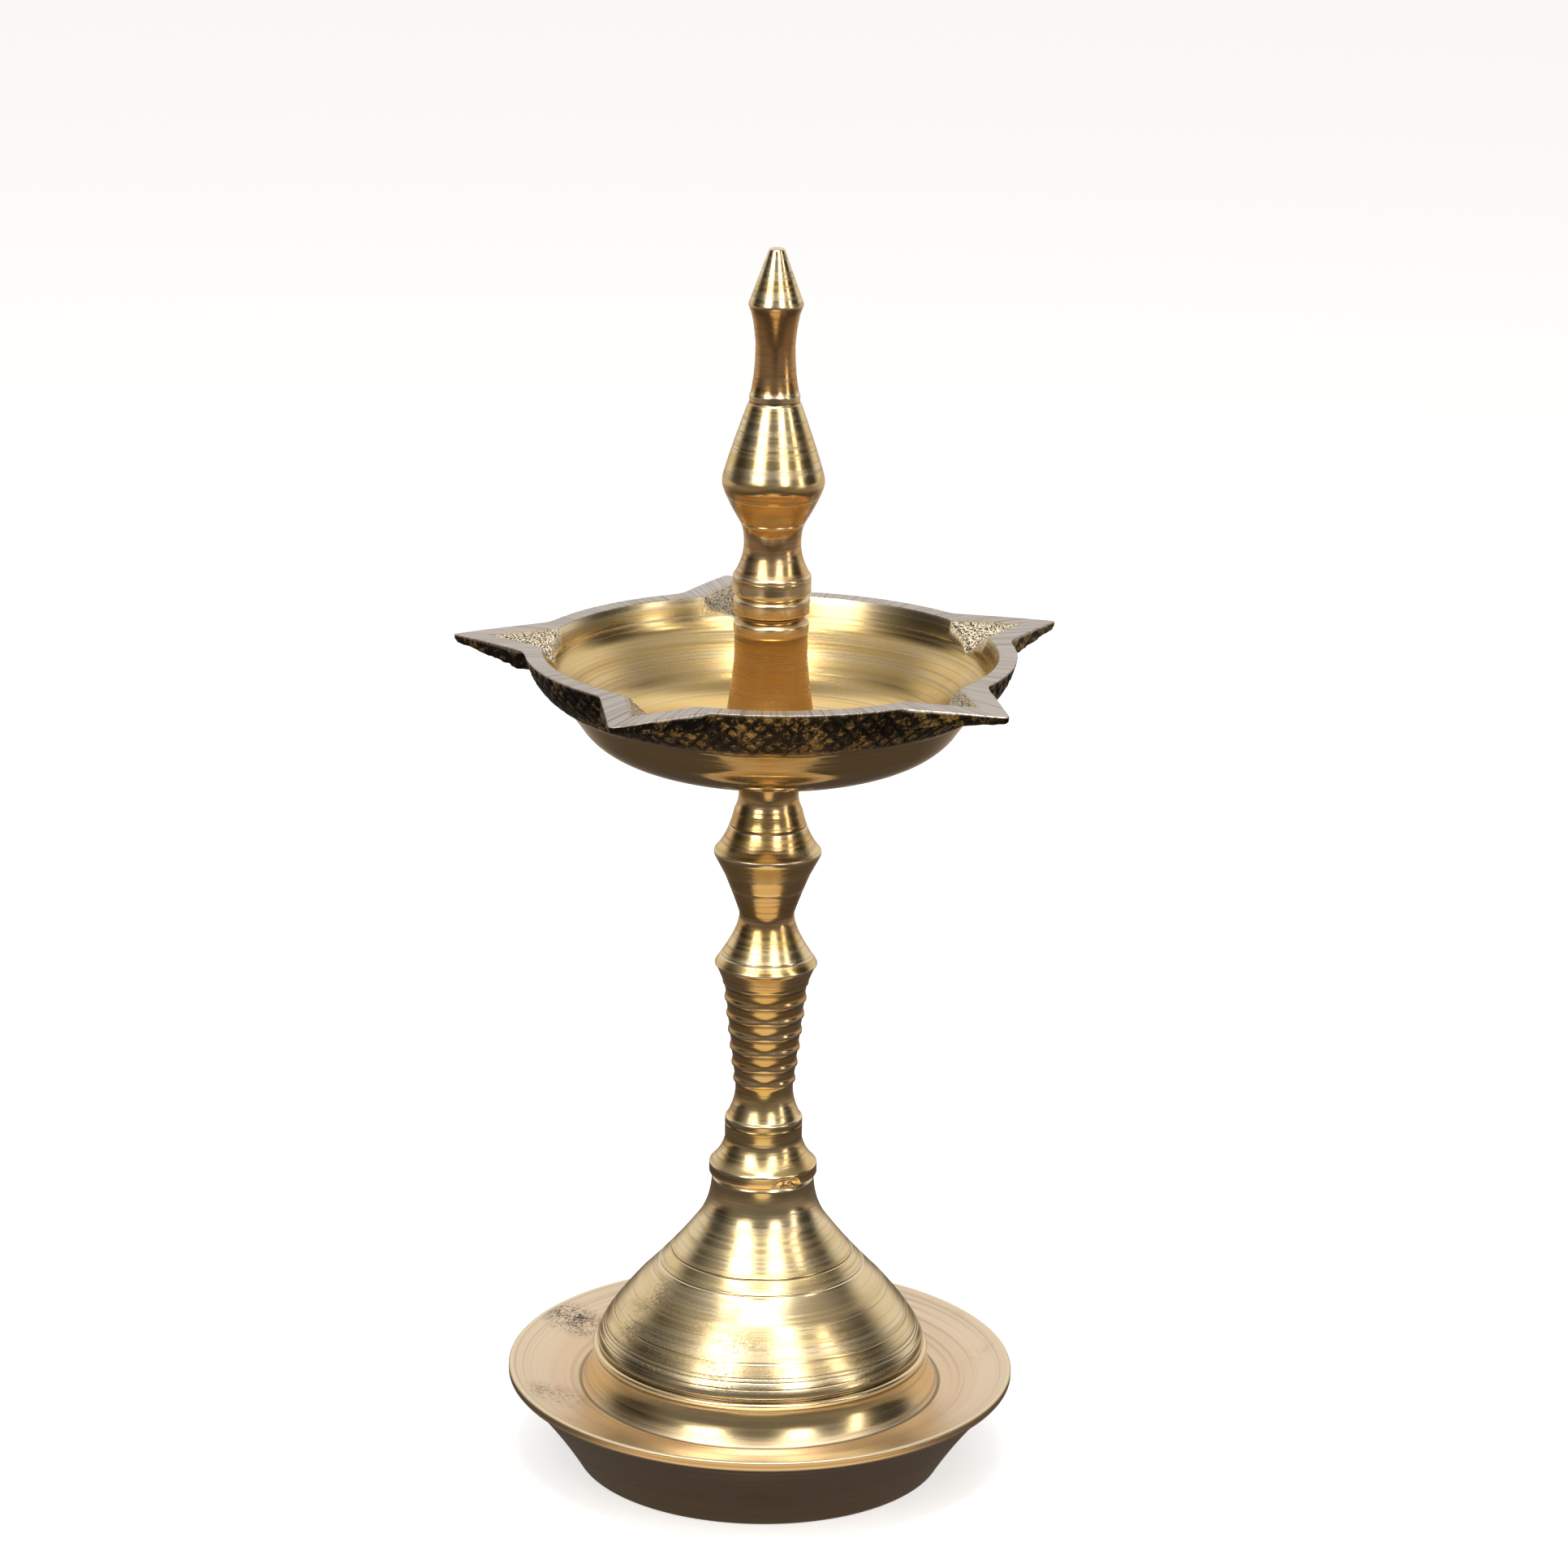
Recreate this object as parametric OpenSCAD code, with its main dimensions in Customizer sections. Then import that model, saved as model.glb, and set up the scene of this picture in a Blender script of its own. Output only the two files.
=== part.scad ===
// Standing oil lamp of turned brass: base, stem, five-spout oil bowl and finial, screwed together.
// The lamp stands on z = 0 with its axis on the Z axis; the front of the lamp faces -Y.

/* [Base] */
// Outer diameter of the drip flange
flange_d = 104.7; // [92:0.5:130]
// Height of the flange rim above the table
flange_h = 20.0; // [17:0.1:26]
// Thickness of the flange rim
flange_t = 2.2; // [1.6:0.1:3]
// How far the flange dishes down towards the dome
flange_dish = 3.8; // [1:0.1:5]
// Outer diameter of the foot ring at the table
foot_d = 76.6; // [64:0.2:84]
// Diameter of the foot where it meets the underside of the flange
foot_top_d = 100.6; // [80:0.2:126]
// Width of the ring that the lamp rests on
foot_ring_w = 3.4; // [2:0.1:6]
// Wall of the hollow base
base_wall = 3.0; // [2:0.1:3.6]
// Diameter where the skirt under the dome meets the flange
skirt_d = 74.4; // [66:0.2:82]
// Diameter of the lip around the foot of the dome
dome_lip_d = 69.0; // [62:0.2:72]
// Height of the skirt, from the flange up to the lip
skirt_h = 8.4; // [5:0.1:11]
// Height of the dome, from the lip up to the bell mouth
dome_h = 27.8; // [22:0.5:36]
// Diameter of the dome on the line where its shoulder ends
dome_mid_d = 51.2; // [44:0.2:58]
// Height of that line above the lip
dome_mid_h = 13.2; // [10:0.1:17]
// Diameter of the dome where it turns in to the neck
dome_top_d = 26.0; // [23:0.2:30]
// Height of the neck above the dome
neck_h = 9.4; // [8:0.1:14]
// Diameter of the base where the stem sits
base_top_d = 21.0; // [18:0.2:25]
// Distance between the two rings scribed on the dome
scribe_gap = 3.6; // [2:0.1:6]

/* [Stem] */
// Diameter of the collar that sits on the base
collar_d = 22.2; // [19:0.2:28]
// Height of the collar
collar_h = 2.9; // [2:0.1:5]
// Height of the flare above the collar
collar_flare_h = 5.1; // [3:0.1:7]
// Diameter of the plain band above the flare
band_d = 15.8; // [14:0.1:18]
// Height of the plain band
band_h = 4.8; // [3:0.1:7]
// Height of the neck between the band and the ringed part
band_neck_h = 7.1; // [5:0.1:9]
// Diameter of the ringed part at its lower end
rings_low_d = 12.3; // [11:0.1:15]
// Diameter of the ringed part at its upper end
rings_high_d = 17.1; // [14:0.1:20]
// Number of turned rings between the lips
ring_count = 6; // [4:1:9]
// Height of one turned ring
ring_pitch = 3.5; // [2.5:0.1:4.5]
// How far the lip of a ring stands out from the ring above it
ring_lip = 0.45; // [0.2:0.05:0.6]
// Diameter of the lower knop
low_knop_d = 21.1; // [18:0.1:25]
// Height from the rings up to the edge of the lower knop
low_knop_rise = 4.5; // [3:0.1:7]
// Diameter of the waist between the knops
waist_d = 11.2; // [10:0.1:14]
// Height from the lower knop down into the waist
waist_low_h = 10.9; // [7:0.1:14]
// Height from the waist up to the edge of the upper knop
waist_high_h = 12.8; // [9:0.1:16]
// Diameter of the upper knop
high_knop_d = 21.8; // [18:0.1:26]
// Height from the upper knop to the neck under the bowl
high_knop_h = 11.0; // [7:0.1:14]
// Diameter of the neck under the bowl
top_neck_d = 12.1; // [11:0.1:16]
// Height of the neck under the bowl
top_neck_h = 7.1; // [4:0.1:10]
// Diameter of the seat that carries the bowl
seat_d = 14.4; // [13:0.1:18]

/* [Bowl] */
// Outer diameter of the bowl at its rim
bowl_d = 98.6; // [84:0.2:124]
// Height of the bowl, from its seat to its rim
bowl_h = 23.9; // [20:0.1:30]
// Width of the flat rim
rim_w = 3.6; // [2.4:0.1:6]
// Wall of the bowl
bowl_wall = 2.7; // [2:0.1:4]
// Height of the as-cast band under the rim
cast_band_h = 9.6; // [6:0.1:12]
// How far the as-cast band draws in from the rim to its lower edge
cast_band_draw = 6.4; // [3:0.1:9]
// How far the as-cast band stands out from the turned underside
cast_band_step = 1.9; // [0.5:0.1:3]
// Diameter of the flat underside around the seat
underside_d = 26.0; // [20:0.5:40]
// How far the underside rises between the seat and the edge of that flat part
underside_rise = 0.5; // [0:0.1:2]
// Number of wick spouts
spout_count = 5; // [3:1:7]
// Direction of the first spout, in degrees from +X
spout_turn = 26.5; // [0:0.5:72]
// Length of a spout beyond the rim
spout_len = 15.8; // [10:0.1:20]
// Angle between the two sides of a spout, in degrees
spout_angle = 68; // [50:1:80]
// Radius of the fillet where a spout meets the rim
spout_fillet_r = 2.0; // [1:0.1:6]
// Thickness of a spout where it leaves the rim
spout_root_t = 4.4; // [3:0.1:6]
// Thickness of a spout at its tip
spout_tip_t = 1.5; // [1.2:0.1:3]
// Depth of the wick groove where it opens into the bowl
groove_depth = 4.8; // [3:0.1:6]
// Width of the wick groove where it opens into the bowl
groove_w = 15.0; // [9:0.1:17]
// Distance from the rim's outer edge to the closed end of the groove
groove_reach = 8.3; // [4:0.1:10]

/* [Post] */
// Height of the post above the bowl's rim
post_h = 11.4; // [8:0.1:16]
// Diameter of the post at its narrowest
post_d = 14.7; // [13:0.1:18]
// Diameter of the post where it meets the bowl's floor
post_foot_d = 26.0; // [22:0.2:34]
// Diameter of the neck near the top of the post
post_neck_d = 13.1; // [12:0.1:16]
// Diameter of the band on top of the post
post_band_d = 15.4; // [14:0.1:20]
// Height of the band on top of the post
post_band_h = 3.0; // [2:0.1:4]

/* [Finial] */
// Diameter of the finial's foot band
finial_foot_d = 15.7; // [14:0.1:20]
// Height of the finial's foot band
finial_foot_h = 4.6; // [3:0.1:6]
// Diameter of the lower neck of the finial
finial_neck_d = 11.4; // [10.6:0.1:14]
// Height of the lower neck, from the foot band to the bulb
finial_neck_h = 10.4; // [8:0.1:14]
// Diameter of the bulb
bulb_d = 20.6; // [17:0.1:26]
// Height of the bulb below its widest line
bulb_low_h = 8.1; // [6:0.1:12]
// Height of the bulb above its widest line
bulb_high_h = 15.8; // [11:0.1:20]
// Diameter of the bulb where it ends under the small ring
bulb_top_d = 10.6; // [9:0.1:13]
// Height of the small ring over the bulb
ring_h = 2.2; // [1.5:0.1:3]
// Height of the upper neck
upper_neck_h = 17.6; // [12:0.1:22]
// Diameter of the upper neck
upper_neck_d = 7.9; // [7:0.1:9]
// Diameter of the sharp edge under the tip
tip_edge_d = 10.9; // [9.6:0.1:14]
// Height of the pointed tip
tip_h = 11.0; // [8:0.1:14]
// Diameter of the blunt end of the tip
tip_end_d = 3.4; // [2.4:0.1:6]

/* [Screws] */
// Outer diameter of the threaded studs
stud_d = 6.0; // [5:0.1:6.4]
// Length of stud held in each piece
stud_grip = 9.0; // [7:0.5:9.5]
// Clearance around a stud in its hole, on the radius
stud_clear = 0.05; // [0.02:0.01:0.1]
// Space between the end of a stud and the end of its hole
stud_end_gap = 0.6; // [0.2:0.1:1]
// Chamfer on each end of a stud
stud_chamfer = 0.6; // [0.2:0.1:0.8]

/* [Hidden] */
$fn = 96;
brass = "#c9a35a";
red_brass = "#b98a48";
steel = "#9a9a94";

// Small features that all turned pieces share
edge_break = 0.4;
scribe_w = 0.5;
scribe_depth = 0.25;
arc_steps = 8;
joint_bevel = 0.7;
past = 1;
foot_lean = 5;
scribe_from = 0.34;
few_steps = 4;

// How far curves ease off a straight part, and the share of a height where hollow ones turn
small_ease = 0.2;
hollow_turn = 0.4;

// Heights of the joints
flange_floor_z = flange_h - flange_dish;
lip_z = flange_floor_z + skirt_h;
dome_top_z = lip_z + dome_h;
base_h = dome_top_z + neck_h;
rings_z = base_h + collar_h + collar_flare_h + band_h + band_neck_h;
rings_h = ring_count * ring_pitch;
low_knop_z = rings_z + rings_h + low_knop_rise;
waist_z = low_knop_z + waist_low_h;
high_knop_z = waist_z + waist_high_h;
top_neck_z = high_knop_z + high_knop_h;
stem_top_z = top_neck_z + top_neck_h;
rim_z = stem_top_z + bowl_h;
post_top_z = rim_z + post_h;
bulb_z = post_top_z + finial_foot_h + finial_neck_h + bulb_low_h;
ring_z = bulb_z + bulb_high_h;
tip_edge_z = ring_z + ring_h + upper_neck_h;
finial_top_z = tip_edge_z + tip_h;

// Radii used in several places
flange_r = flange_d / 2;
rim_r = bowl_d / 2;
rim_in_r = rim_r - rim_w;
skirt_r = skirt_d / 2;
lip_r = dome_lip_d / 2;
post_r = post_d / 2;
spout_r = rim_r + spout_len;
stud_hole_d = stud_d + 2 * stud_clear;
stud_hole_h = stud_grip + stud_end_gap;

// Shoulder, turn-in and top of the dome, as [radius, height]
dome_mid = [dome_mid_d / 2, lip_z + dome_mid_h];
dome_top = [dome_top_d / 2, dome_top_z];
dome_hollow = 1;
dome_lean = [(dome_mid[0] + dome_top[0]) / 2 - dome_hollow, (dome_mid[1] + dome_top[1]) / 2];

// Point at share t of a quadratic curve from a to c that leans towards b
function on_bend(a, b, c, t) = (1 - t) * (1 - t) * a + 2 * t * (1 - t) * b + t * t * c;

// Points of that curve, without its first point
function bend(a, b, c, n = arc_steps) = [for (i = [1:n]) on_bend(a, b, c, i / n)];

// Turns an outline of [radius, height] points into a solid
module turned(outline) {
  rotate_extrude() polygon(outline);
}

// A scribed line: a small V ring cut at a [radius, height]
module scribe(p) {
  reach = scribe_w / 2 * (1 + past / scribe_depth);
  turned([
    [p[0] + past, p[1] + reach],
    [p[0] - scribe_depth, p[1]],
    [p[0] + past, p[1] - reach],
  ]);
}

// A drilled hole for a stud, upwards or downwards from the joint at height z
module stud_hole_up(z) {
  translate([0, 0, z - past]) cylinder(d = stud_hole_d, h = stud_hole_h + past);
}

module stud_hole_down(z) {
  translate([0, 0, z - stud_hole_h]) cylinder(d = stud_hole_d, h = stud_hole_h + past);
}

// A stud centred on the joint at height z
module stud(z) {
  r = stud_d / 2;
  color(steel) turned([
    [0, z - stud_grip],
    [r - stud_chamfer, z - stud_grip],
    [r, z - stud_grip + stud_chamfer],
    [r, z + stud_grip - stud_chamfer],
    [r - stud_chamfer, z + stud_grip],
    [0, z + stud_grip],
  ]);
}

module base() {
  foot_r = foot_d / 2;
  foot_top_r = foot_top_d / 2;
  foot_in_r = foot_r - foot_ring_w;
  ceiling_z = flange_floor_z - base_wall;
  top_r = base_top_d / 2;
  rim_low_z = flange_h - flange_t;
  roof_z = base_h - stud_hole_h - base_wall;
  roof_r = stud_hole_d / 2 + base_wall;
  foot_tuck = 1;
  dish_ease = [6, 0.6];
  skirt_swell = 0.4;
  lip_t = 1.6;
  ceiling_turn = 0.75;
  dome_round = [-1.2, 3.9];
  dome_foot = [lip_r - edge_break, lip_z];
  dome_swell = [lip_r, lip_z] + dome_round;
  shrink = [base_wall, base_wall / 2];
  color(brass) difference() {
    turned(concat(
      [[0, 0], [foot_r - edge_break, 0], [foot_r, edge_break]],
      bend([foot_r, edge_break], [foot_r + foot_lean, rim_low_z / 2], [foot_top_r, rim_low_z - foot_tuck]),
      [[flange_r - edge_break, rim_low_z], [flange_r, rim_low_z + edge_break],
       [flange_r, flange_h - edge_break]],
      bend([flange_r - edge_break, flange_h], [skirt_r, flange_floor_z] + dish_ease,
           [skirt_r, flange_floor_z]),
      bend([skirt_r, flange_floor_z], [lip_r + skirt_swell, flange_floor_z + skirt_h * hollow_turn],
           [lip_r, lip_z - lip_t]),
      [[lip_r, lip_z - edge_break], dome_foot],
      bend(dome_foot, dome_swell, dome_mid),
      bend(dome_mid, dome_lean, dome_top),
      bend(dome_top, [top_r + small_ease, dome_top_z + neck_h * hollow_turn], [top_r, base_h - joint_bevel]),
      [[top_r - joint_bevel, base_h], [0, base_h]]
    ));
    // hollow under the dome, open at the foot
    turned(concat(
      [[0, -past], [foot_in_r, -past], [foot_in_r, 0],
       [foot_in_r + foot_lean, ceiling_z * ceiling_turn],
       [skirt_r, ceiling_z], [skirt_r - base_wall, flange_floor_z]],
      bend([lip_r - base_wall, lip_z - base_wall], dome_swell - shrink, dome_mid - shrink),
      [[roof_r, roof_z], [0, roof_z]]
    ));
    stud_hole_down(base_h);
    scribe(on_bend(dome_mid, dome_lean, dome_top, scribe_from));
    scribe(on_bend(dome_mid, dome_lean, dome_top, scribe_from + scribe_gap / norm(dome_top - dome_mid)));
  }
}

// Shape of one turned ring, as shares of its lip and of its pitch
ring_dip = 0.3;
ring_crest = [0.6, 0.12];
ring_brow = [0.5, 0.24];
ring_taper = [0.45, 0.6];

// One turned ring of the stem: it flares down to a lip; r0 below, r1 above
function ring_line(z, r0, r1) = [
  [r0 - ring_lip * ring_dip, z],
  [r0 + ring_lip * ring_crest[0], z + ring_pitch * ring_crest[1]],
  [r0 + ring_lip * ring_brow[0], z + ring_pitch * ring_brow[1]],
  [r1 - ring_lip * ring_taper[0], z + ring_pitch * ring_taper[1]],
];

function ring_r(i) = (rings_low_d + (rings_high_d - rings_low_d) * i / ring_count) / 2;

module stem() {
  collar_r = collar_d / 2;
  band_r = band_d / 2;
  flare_z = base_h + collar_h;
  band_z = flare_z + collar_flare_h;
  band_top_z = band_z + band_h;
  neck_r = ring_r(0);
  low_r = low_knop_d / 2;
  high_r = high_knop_d / 2;
  waist_r = waist_d / 2;
  top_r = top_neck_d / 2;
  seat_r = seat_d / 2;
  flare_ease = 0.6;
  neck_turn = 0.45;
  knop_start = 0.75;
  knop_round = 0.9;
  knop_swell = 0.3;
  waist_below = 3.4;
  waist_above = [1.2, 3.6];
  knop_under = [2.2, 4.6];
  knop_hollow = 2.7;
  knop_turn = 0.29;
  neck_soft = 0.4;
  seat_run = 1.6;
  knop_scribe_at = 0.62;
  band_scribe_at = 0.3;
  knop_edge = [high_r, high_knop_z + edge_break];
  knop_lean = [high_r - knop_hollow, high_knop_z + high_knop_h * knop_turn];
  knop_end = [top_r, top_neck_z] + [0.85, -2];
  neck_end = [top_r, top_neck_z] + [0, 1.4];
  color(red_brass) difference() {
    turned(concat(
      [[0, base_h], [collar_r - edge_break, base_h], [collar_r, base_h + edge_break],
       [collar_r, flare_z - edge_break], [collar_r - edge_break, flare_z]],
      bend([collar_r - edge_break, flare_z], [band_r + flare_ease, flare_z + collar_flare_h * hollow_turn],
           [band_r, band_z]),
      [[band_r, band_top_z - edge_break], [band_r - edge_break, band_top_z]],
      bend([band_r - edge_break, band_top_z], [neck_r - flare_ease, rings_z - band_neck_h * neck_turn],
           [neck_r - ring_lip * ring_dip, rings_z]),
      [for (i = [0:ring_count - 1]) each ring_line(rings_z + i * ring_pitch, ring_r(i), ring_r(i + 1))],
      [ring_line(rings_z + rings_h, ring_r(ring_count), 0)[0]],
      [ring_line(rings_z + rings_h, ring_r(ring_count), 0)[1]],
      bend([ring_r(ring_count), low_knop_z - low_knop_rise * knop_start],
           [low_r - knop_round, low_knop_z - low_knop_rise * knop_swell],
           [low_r - edge_break, low_knop_z - edge_break]),
      [[low_r, low_knop_z], [low_r - edge_break, low_knop_z + 2 * edge_break]],
      bend([low_r - edge_break, low_knop_z + 2 * edge_break], [waist_r - small_ease, waist_z - waist_below],
           [waist_r, waist_z]),
      bend([waist_r, waist_z], [waist_r, waist_z] + waist_above, [high_r, high_knop_z] - knop_under),
      [[high_r, high_knop_z - edge_break], knop_edge],
      bend(knop_edge, knop_lean, knop_end),
      bend(knop_end, [top_r, top_neck_z - neck_soft], neck_end, few_steps),
      bend(neck_end, [top_r + small_ease, stem_top_z - seat_run],
           [seat_r, stem_top_z - edge_break], few_steps),
      [[seat_r - edge_break, stem_top_z], [0, stem_top_z]]
    ));
    stud_hole_up(base_h);
    stud_hole_down(stem_top_z);
    scribe(on_bend(knop_edge, knop_lean, knop_end, knop_scribe_at));
    scribe([band_r, band_top_z - band_h * band_scribe_at]);
  }
}

// Plan of one spout along +X: straight sides, and arcs that run into the round rim
spout_half = spout_angle / 2;
spout_dir = [-cos(spout_half), sin(spout_half)];
spout_normal = [sin(spout_half), cos(spout_half)];
spout_trim = 0.6;
spout_point = [spout_r + spout_trim, 0];
fillet_base = spout_point + spout_fillet_r * spout_normal;
fillet_b = fillet_base * spout_dir;
fillet_c = fillet_base * fillet_base - pow(rim_r + spout_fillet_r, 2);
fillet_mid = fillet_base + (-fillet_b - sqrt(fillet_b * fillet_b - fillet_c)) * spout_dir;
fillet_side = fillet_mid - spout_fillet_r * spout_normal;

function flip(p) = [p[0], -p[1]];

module spout_plan() {
  difference() {
    polygon([spout_point, fillet_side, fillet_mid, [0, 0], flip(fillet_mid), flip(fillet_side)]);
    translate(fillet_mid) circle(r = spout_fillet_r);
    translate(flip(fillet_mid)) circle(r = spout_fillet_r);
  }
}

// Tapering V groove along +X, made by tilting a straight V trough about its closed end
module wick_groove() {
  apex_r = rim_r + groove_reach;
  run = apex_r - rim_in_r;
  tilt = atan(groove_depth / run);
  vee_half_w = groove_w / 2 * cos(tilt) / groove_depth;
  tall = groove_depth * 3;
  cutter_spare = 8;
  translate([apex_r, 0, rim_z])
    rotate([0, -90 - tilt, 0])
      translate([0, 0, -past])
        linear_extrude(height = run + cutter_spare)
          polygon([[0, 0], [tall, -tall * vee_half_w], [tall, tall * vee_half_w]]);
}

module bowl() {
  band_low = [rim_r - cast_band_draw, rim_z - cast_band_h];
  step_fall = 0.6;
  under_round = [2.6, 3.6];
  under_sweep = 8;
  sweep_ease = 0.3;
  wall_lean = [-0.85, 0.5];
  well_slope = [-1.6, -6];
  floor_run = 1;
  post_foot_ease = 2;
  post_start = 1;
  post_flare = [1, 6];
  groove_gap = 1;
  bead_h = 2.2;
  bead_bevel = 0.4;
  band_foot = [-0.1, 0.6];
  band_swell = 1.4;
  band_turn = 0.3;
  spout_root_in = 0.6;
  under_end = band_low - cast_band_step * [1, step_fall];
  under_turn = under_end - under_round;
  flat_end = [underside_d / 2, stem_top_z + underside_rise];
  floor_z = flat_end[1] + bowl_wall;
  well_turn = under_turn + bowl_wall * wall_lean;
  post_foot_r = post_foot_d / 2 - post_foot_ease;
  neck_r = post_neck_d / 2;
  band_r = post_band_d / 2;
  neck_z = post_top_z - post_band_h - groove_gap;
  bead_z = neck_z - groove_gap;
  bead_r = post_r + small_ease;
  color(brass) difference() {
    union() {
      // turned body with the solid post on its axis
      turned(concat(
        [[0, stem_top_z], [seat_d / 2, stem_top_z], flat_end],
        bend(flat_end, [under_end[0] - under_sweep, flat_end[1] + sweep_ease], under_turn),
        [under_end, band_low],
        bend(band_low, [rim_r - band_swell, band_low[1] + cast_band_h * band_turn],
             [rim_r, rim_z - edge_break]),
        [[rim_r, rim_z], [post_r, rim_z], [post_r, bead_z - bead_h - bead_bevel],
         [bead_r, bead_z - bead_h],
         [bead_r, bead_z - bead_bevel], [neck_r, bead_z + bead_bevel], [neck_r, neck_z],
         [band_r, neck_z] + band_foot, [band_r, post_top_z - joint_bevel],
         [band_r - joint_bevel, post_top_z], [0, post_top_z]]
      ));
      // spouts: a star-shaped plate whose underside is a shallow cone
      intersection() {
        translate([0, 0, band_low[1]])
          linear_extrude(height = cast_band_h)
            intersection() {
              union() {
                for (i = [0:spout_count - 1])
                  rotate(spout_turn + i * 360 / spout_count) spout_plan();
              }
              circle(r = spout_r);
            }
        turned([[0, band_low[1]], band_low, [rim_r - spout_root_in, rim_z - spout_root_t],
                [spout_r, rim_z - spout_tip_t], [spout_r, rim_z], [0, rim_z]]);
      }
    }
    // oil well around the post
    turned(concat(
      [[post_foot_r, floor_z], [flat_end[0] + floor_run, floor_z]],
      bend([flat_end[0] + floor_run, floor_z],
           [under_end[0] - under_sweep - bowl_wall / 2, floor_z + sweep_ease], well_turn),
      [[rim_in_r, rim_z] + well_slope, [rim_in_r, rim_z], [rim_in_r, rim_z + past],
       [post_r, rim_z + past], [post_r, rim_z - post_start]],
      bend([post_r, rim_z - post_start], [post_r, floor_z] + post_flare, [post_foot_r, floor_z])
    ));
    for (i = [0:spout_count - 1])
      rotate(spout_turn + i * 360 / spout_count) wick_groove();
    stud_hole_up(stem_top_z);
    stud_hole_down(post_top_z);
  }
}

module finial() {
  foot_r = finial_foot_d / 2;
  foot_top_z = post_top_z + finial_foot_h;
  neck_r = finial_neck_d / 2;
  bulb_r = bulb_d / 2;
  bulb_low_z = bulb_z - bulb_low_h;
  bulb_top_r = bulb_top_d / 2;
  upper_r = upper_neck_d / 2;
  edge_r = tip_edge_d / 2;
  tip_r = tip_end_d / 2;
  ring_top_z = ring_z + ring_h;
  foot_run = 2.6;
  neck_soft = 1.6;
  tip_round = 1;
  bulb_turn = [-1, -0.43];
  shoulder_turn = [-1.5, 0.38];
  neck_mid = [neck_r, foot_top_z + finial_neck_h * 0.56];
  neck_end = [neck_r + 0.8, bulb_low_z];
  bulb_low = [bulb_r, bulb_z] + [-0.2, -0.8];
  bulb_brow = [bulb_r, bulb_z] + [0.1, 0.4];
  bulb_high = [bulb_r, bulb_z] + [-0.4, 2];
  ring_step = 0.25;
  ring_low = [bulb_top_r - ring_step, ring_z + small_ease];
  ring_high = [bulb_top_r - ring_step, ring_z + ring_h * 0.85];
  ring_top = [bulb_top_r - 2 * ring_step, ring_top_z];
  upper_mid = [upper_r, ring_top_z + upper_neck_h * 0.55];
  upper_run = 4;
  edge_lean = [0.3, -4.2];
  edge_start = [edge_r, tip_edge_z] + [-0.6, -1.8];
  tip_start = [tip_r, finial_top_z - 0.8];
  color(brass) difference() {
    turned(concat(
      [[0, post_top_z], [foot_r - joint_bevel, post_top_z], [foot_r, post_top_z + joint_bevel],
       [foot_r, foot_top_z]],
      bend([foot_r, foot_top_z], [neck_r + small_ease, foot_top_z + foot_run], neck_mid),
      bend(neck_mid, [neck_r, bulb_low_z - neck_soft], neck_end, few_steps),
      bend(neck_end, [bulb_r + bulb_turn[0], bulb_z + bulb_low_h * bulb_turn[1]], bulb_low),
      bend(bulb_low, bulb_brow, bulb_high, few_steps),
      bend(bulb_high, [bulb_r + shoulder_turn[0], bulb_z + bulb_high_h * shoulder_turn[1]],
           [bulb_top_r, ring_z]),
      [ring_low, ring_high, ring_top],
      bend(ring_top, [upper_r, ring_top_z + upper_run], upper_mid),
      bend(upper_mid, [upper_r, tip_edge_z] + edge_lean, edge_start),
      [[edge_r, tip_edge_z - edge_break], [edge_r, tip_edge_z], tip_start],
      bend(tip_start, [tip_r - small_ease, finial_top_z], [tip_r - tip_round, finial_top_z], few_steps),
      [[0, finial_top_z]]
    ));
    stud_hole_up(post_top_z);
    scribe(neck_end);
  }
}

module lower_stud() { stud(base_h); }
module middle_stud() { stud(stem_top_z); }
module top_stud() { stud(post_top_z); }

base();
lower_stud();
stem();
middle_stud();
bowl();
top_stud();
finial();
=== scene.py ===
# Brass standing oil lamp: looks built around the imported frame.
import math
import bpy
import numpy as np
from mathutils import Matrix, Vector
from mathutils import noise as grain


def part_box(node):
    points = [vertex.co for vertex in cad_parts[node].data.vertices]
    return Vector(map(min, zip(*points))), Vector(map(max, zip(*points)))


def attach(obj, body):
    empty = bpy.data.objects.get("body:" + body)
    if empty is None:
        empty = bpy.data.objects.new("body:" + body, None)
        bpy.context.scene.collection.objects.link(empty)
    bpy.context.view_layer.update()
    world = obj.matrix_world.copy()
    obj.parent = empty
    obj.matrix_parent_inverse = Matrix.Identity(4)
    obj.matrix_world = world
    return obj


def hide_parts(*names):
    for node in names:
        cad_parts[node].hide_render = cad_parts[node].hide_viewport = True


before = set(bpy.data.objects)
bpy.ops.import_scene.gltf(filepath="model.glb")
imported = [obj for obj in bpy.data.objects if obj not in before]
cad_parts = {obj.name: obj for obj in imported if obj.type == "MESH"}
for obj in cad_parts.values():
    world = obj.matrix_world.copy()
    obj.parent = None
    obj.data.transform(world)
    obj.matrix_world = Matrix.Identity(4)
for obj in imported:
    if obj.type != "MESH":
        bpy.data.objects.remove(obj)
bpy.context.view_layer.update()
mm = 0.001

# outlines are lists of (radius, height) in millimetres, walked with the outside on the right


def trace(start, *moves, fill=0.6):
    # a move is a point, or a pair (lean, end) for a bend towards lean; fill is the spacing along it
    points = [start]
    for move in moves:
        if isinstance(move[0], tuple):
            lean, end = move
            first = points[-1]
            steps = max(6, int(math.dist(first, end) / fill))
            for i in range(1, steps + 1):
                t = i / steps
                points.append(tuple((1 - t) ** 2 * a + 2 * t * (1 - t) * b + t * t * c
                                    for a, b, c in zip(first, lean, end)))
        else:
            points.append(move)
    return points


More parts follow.
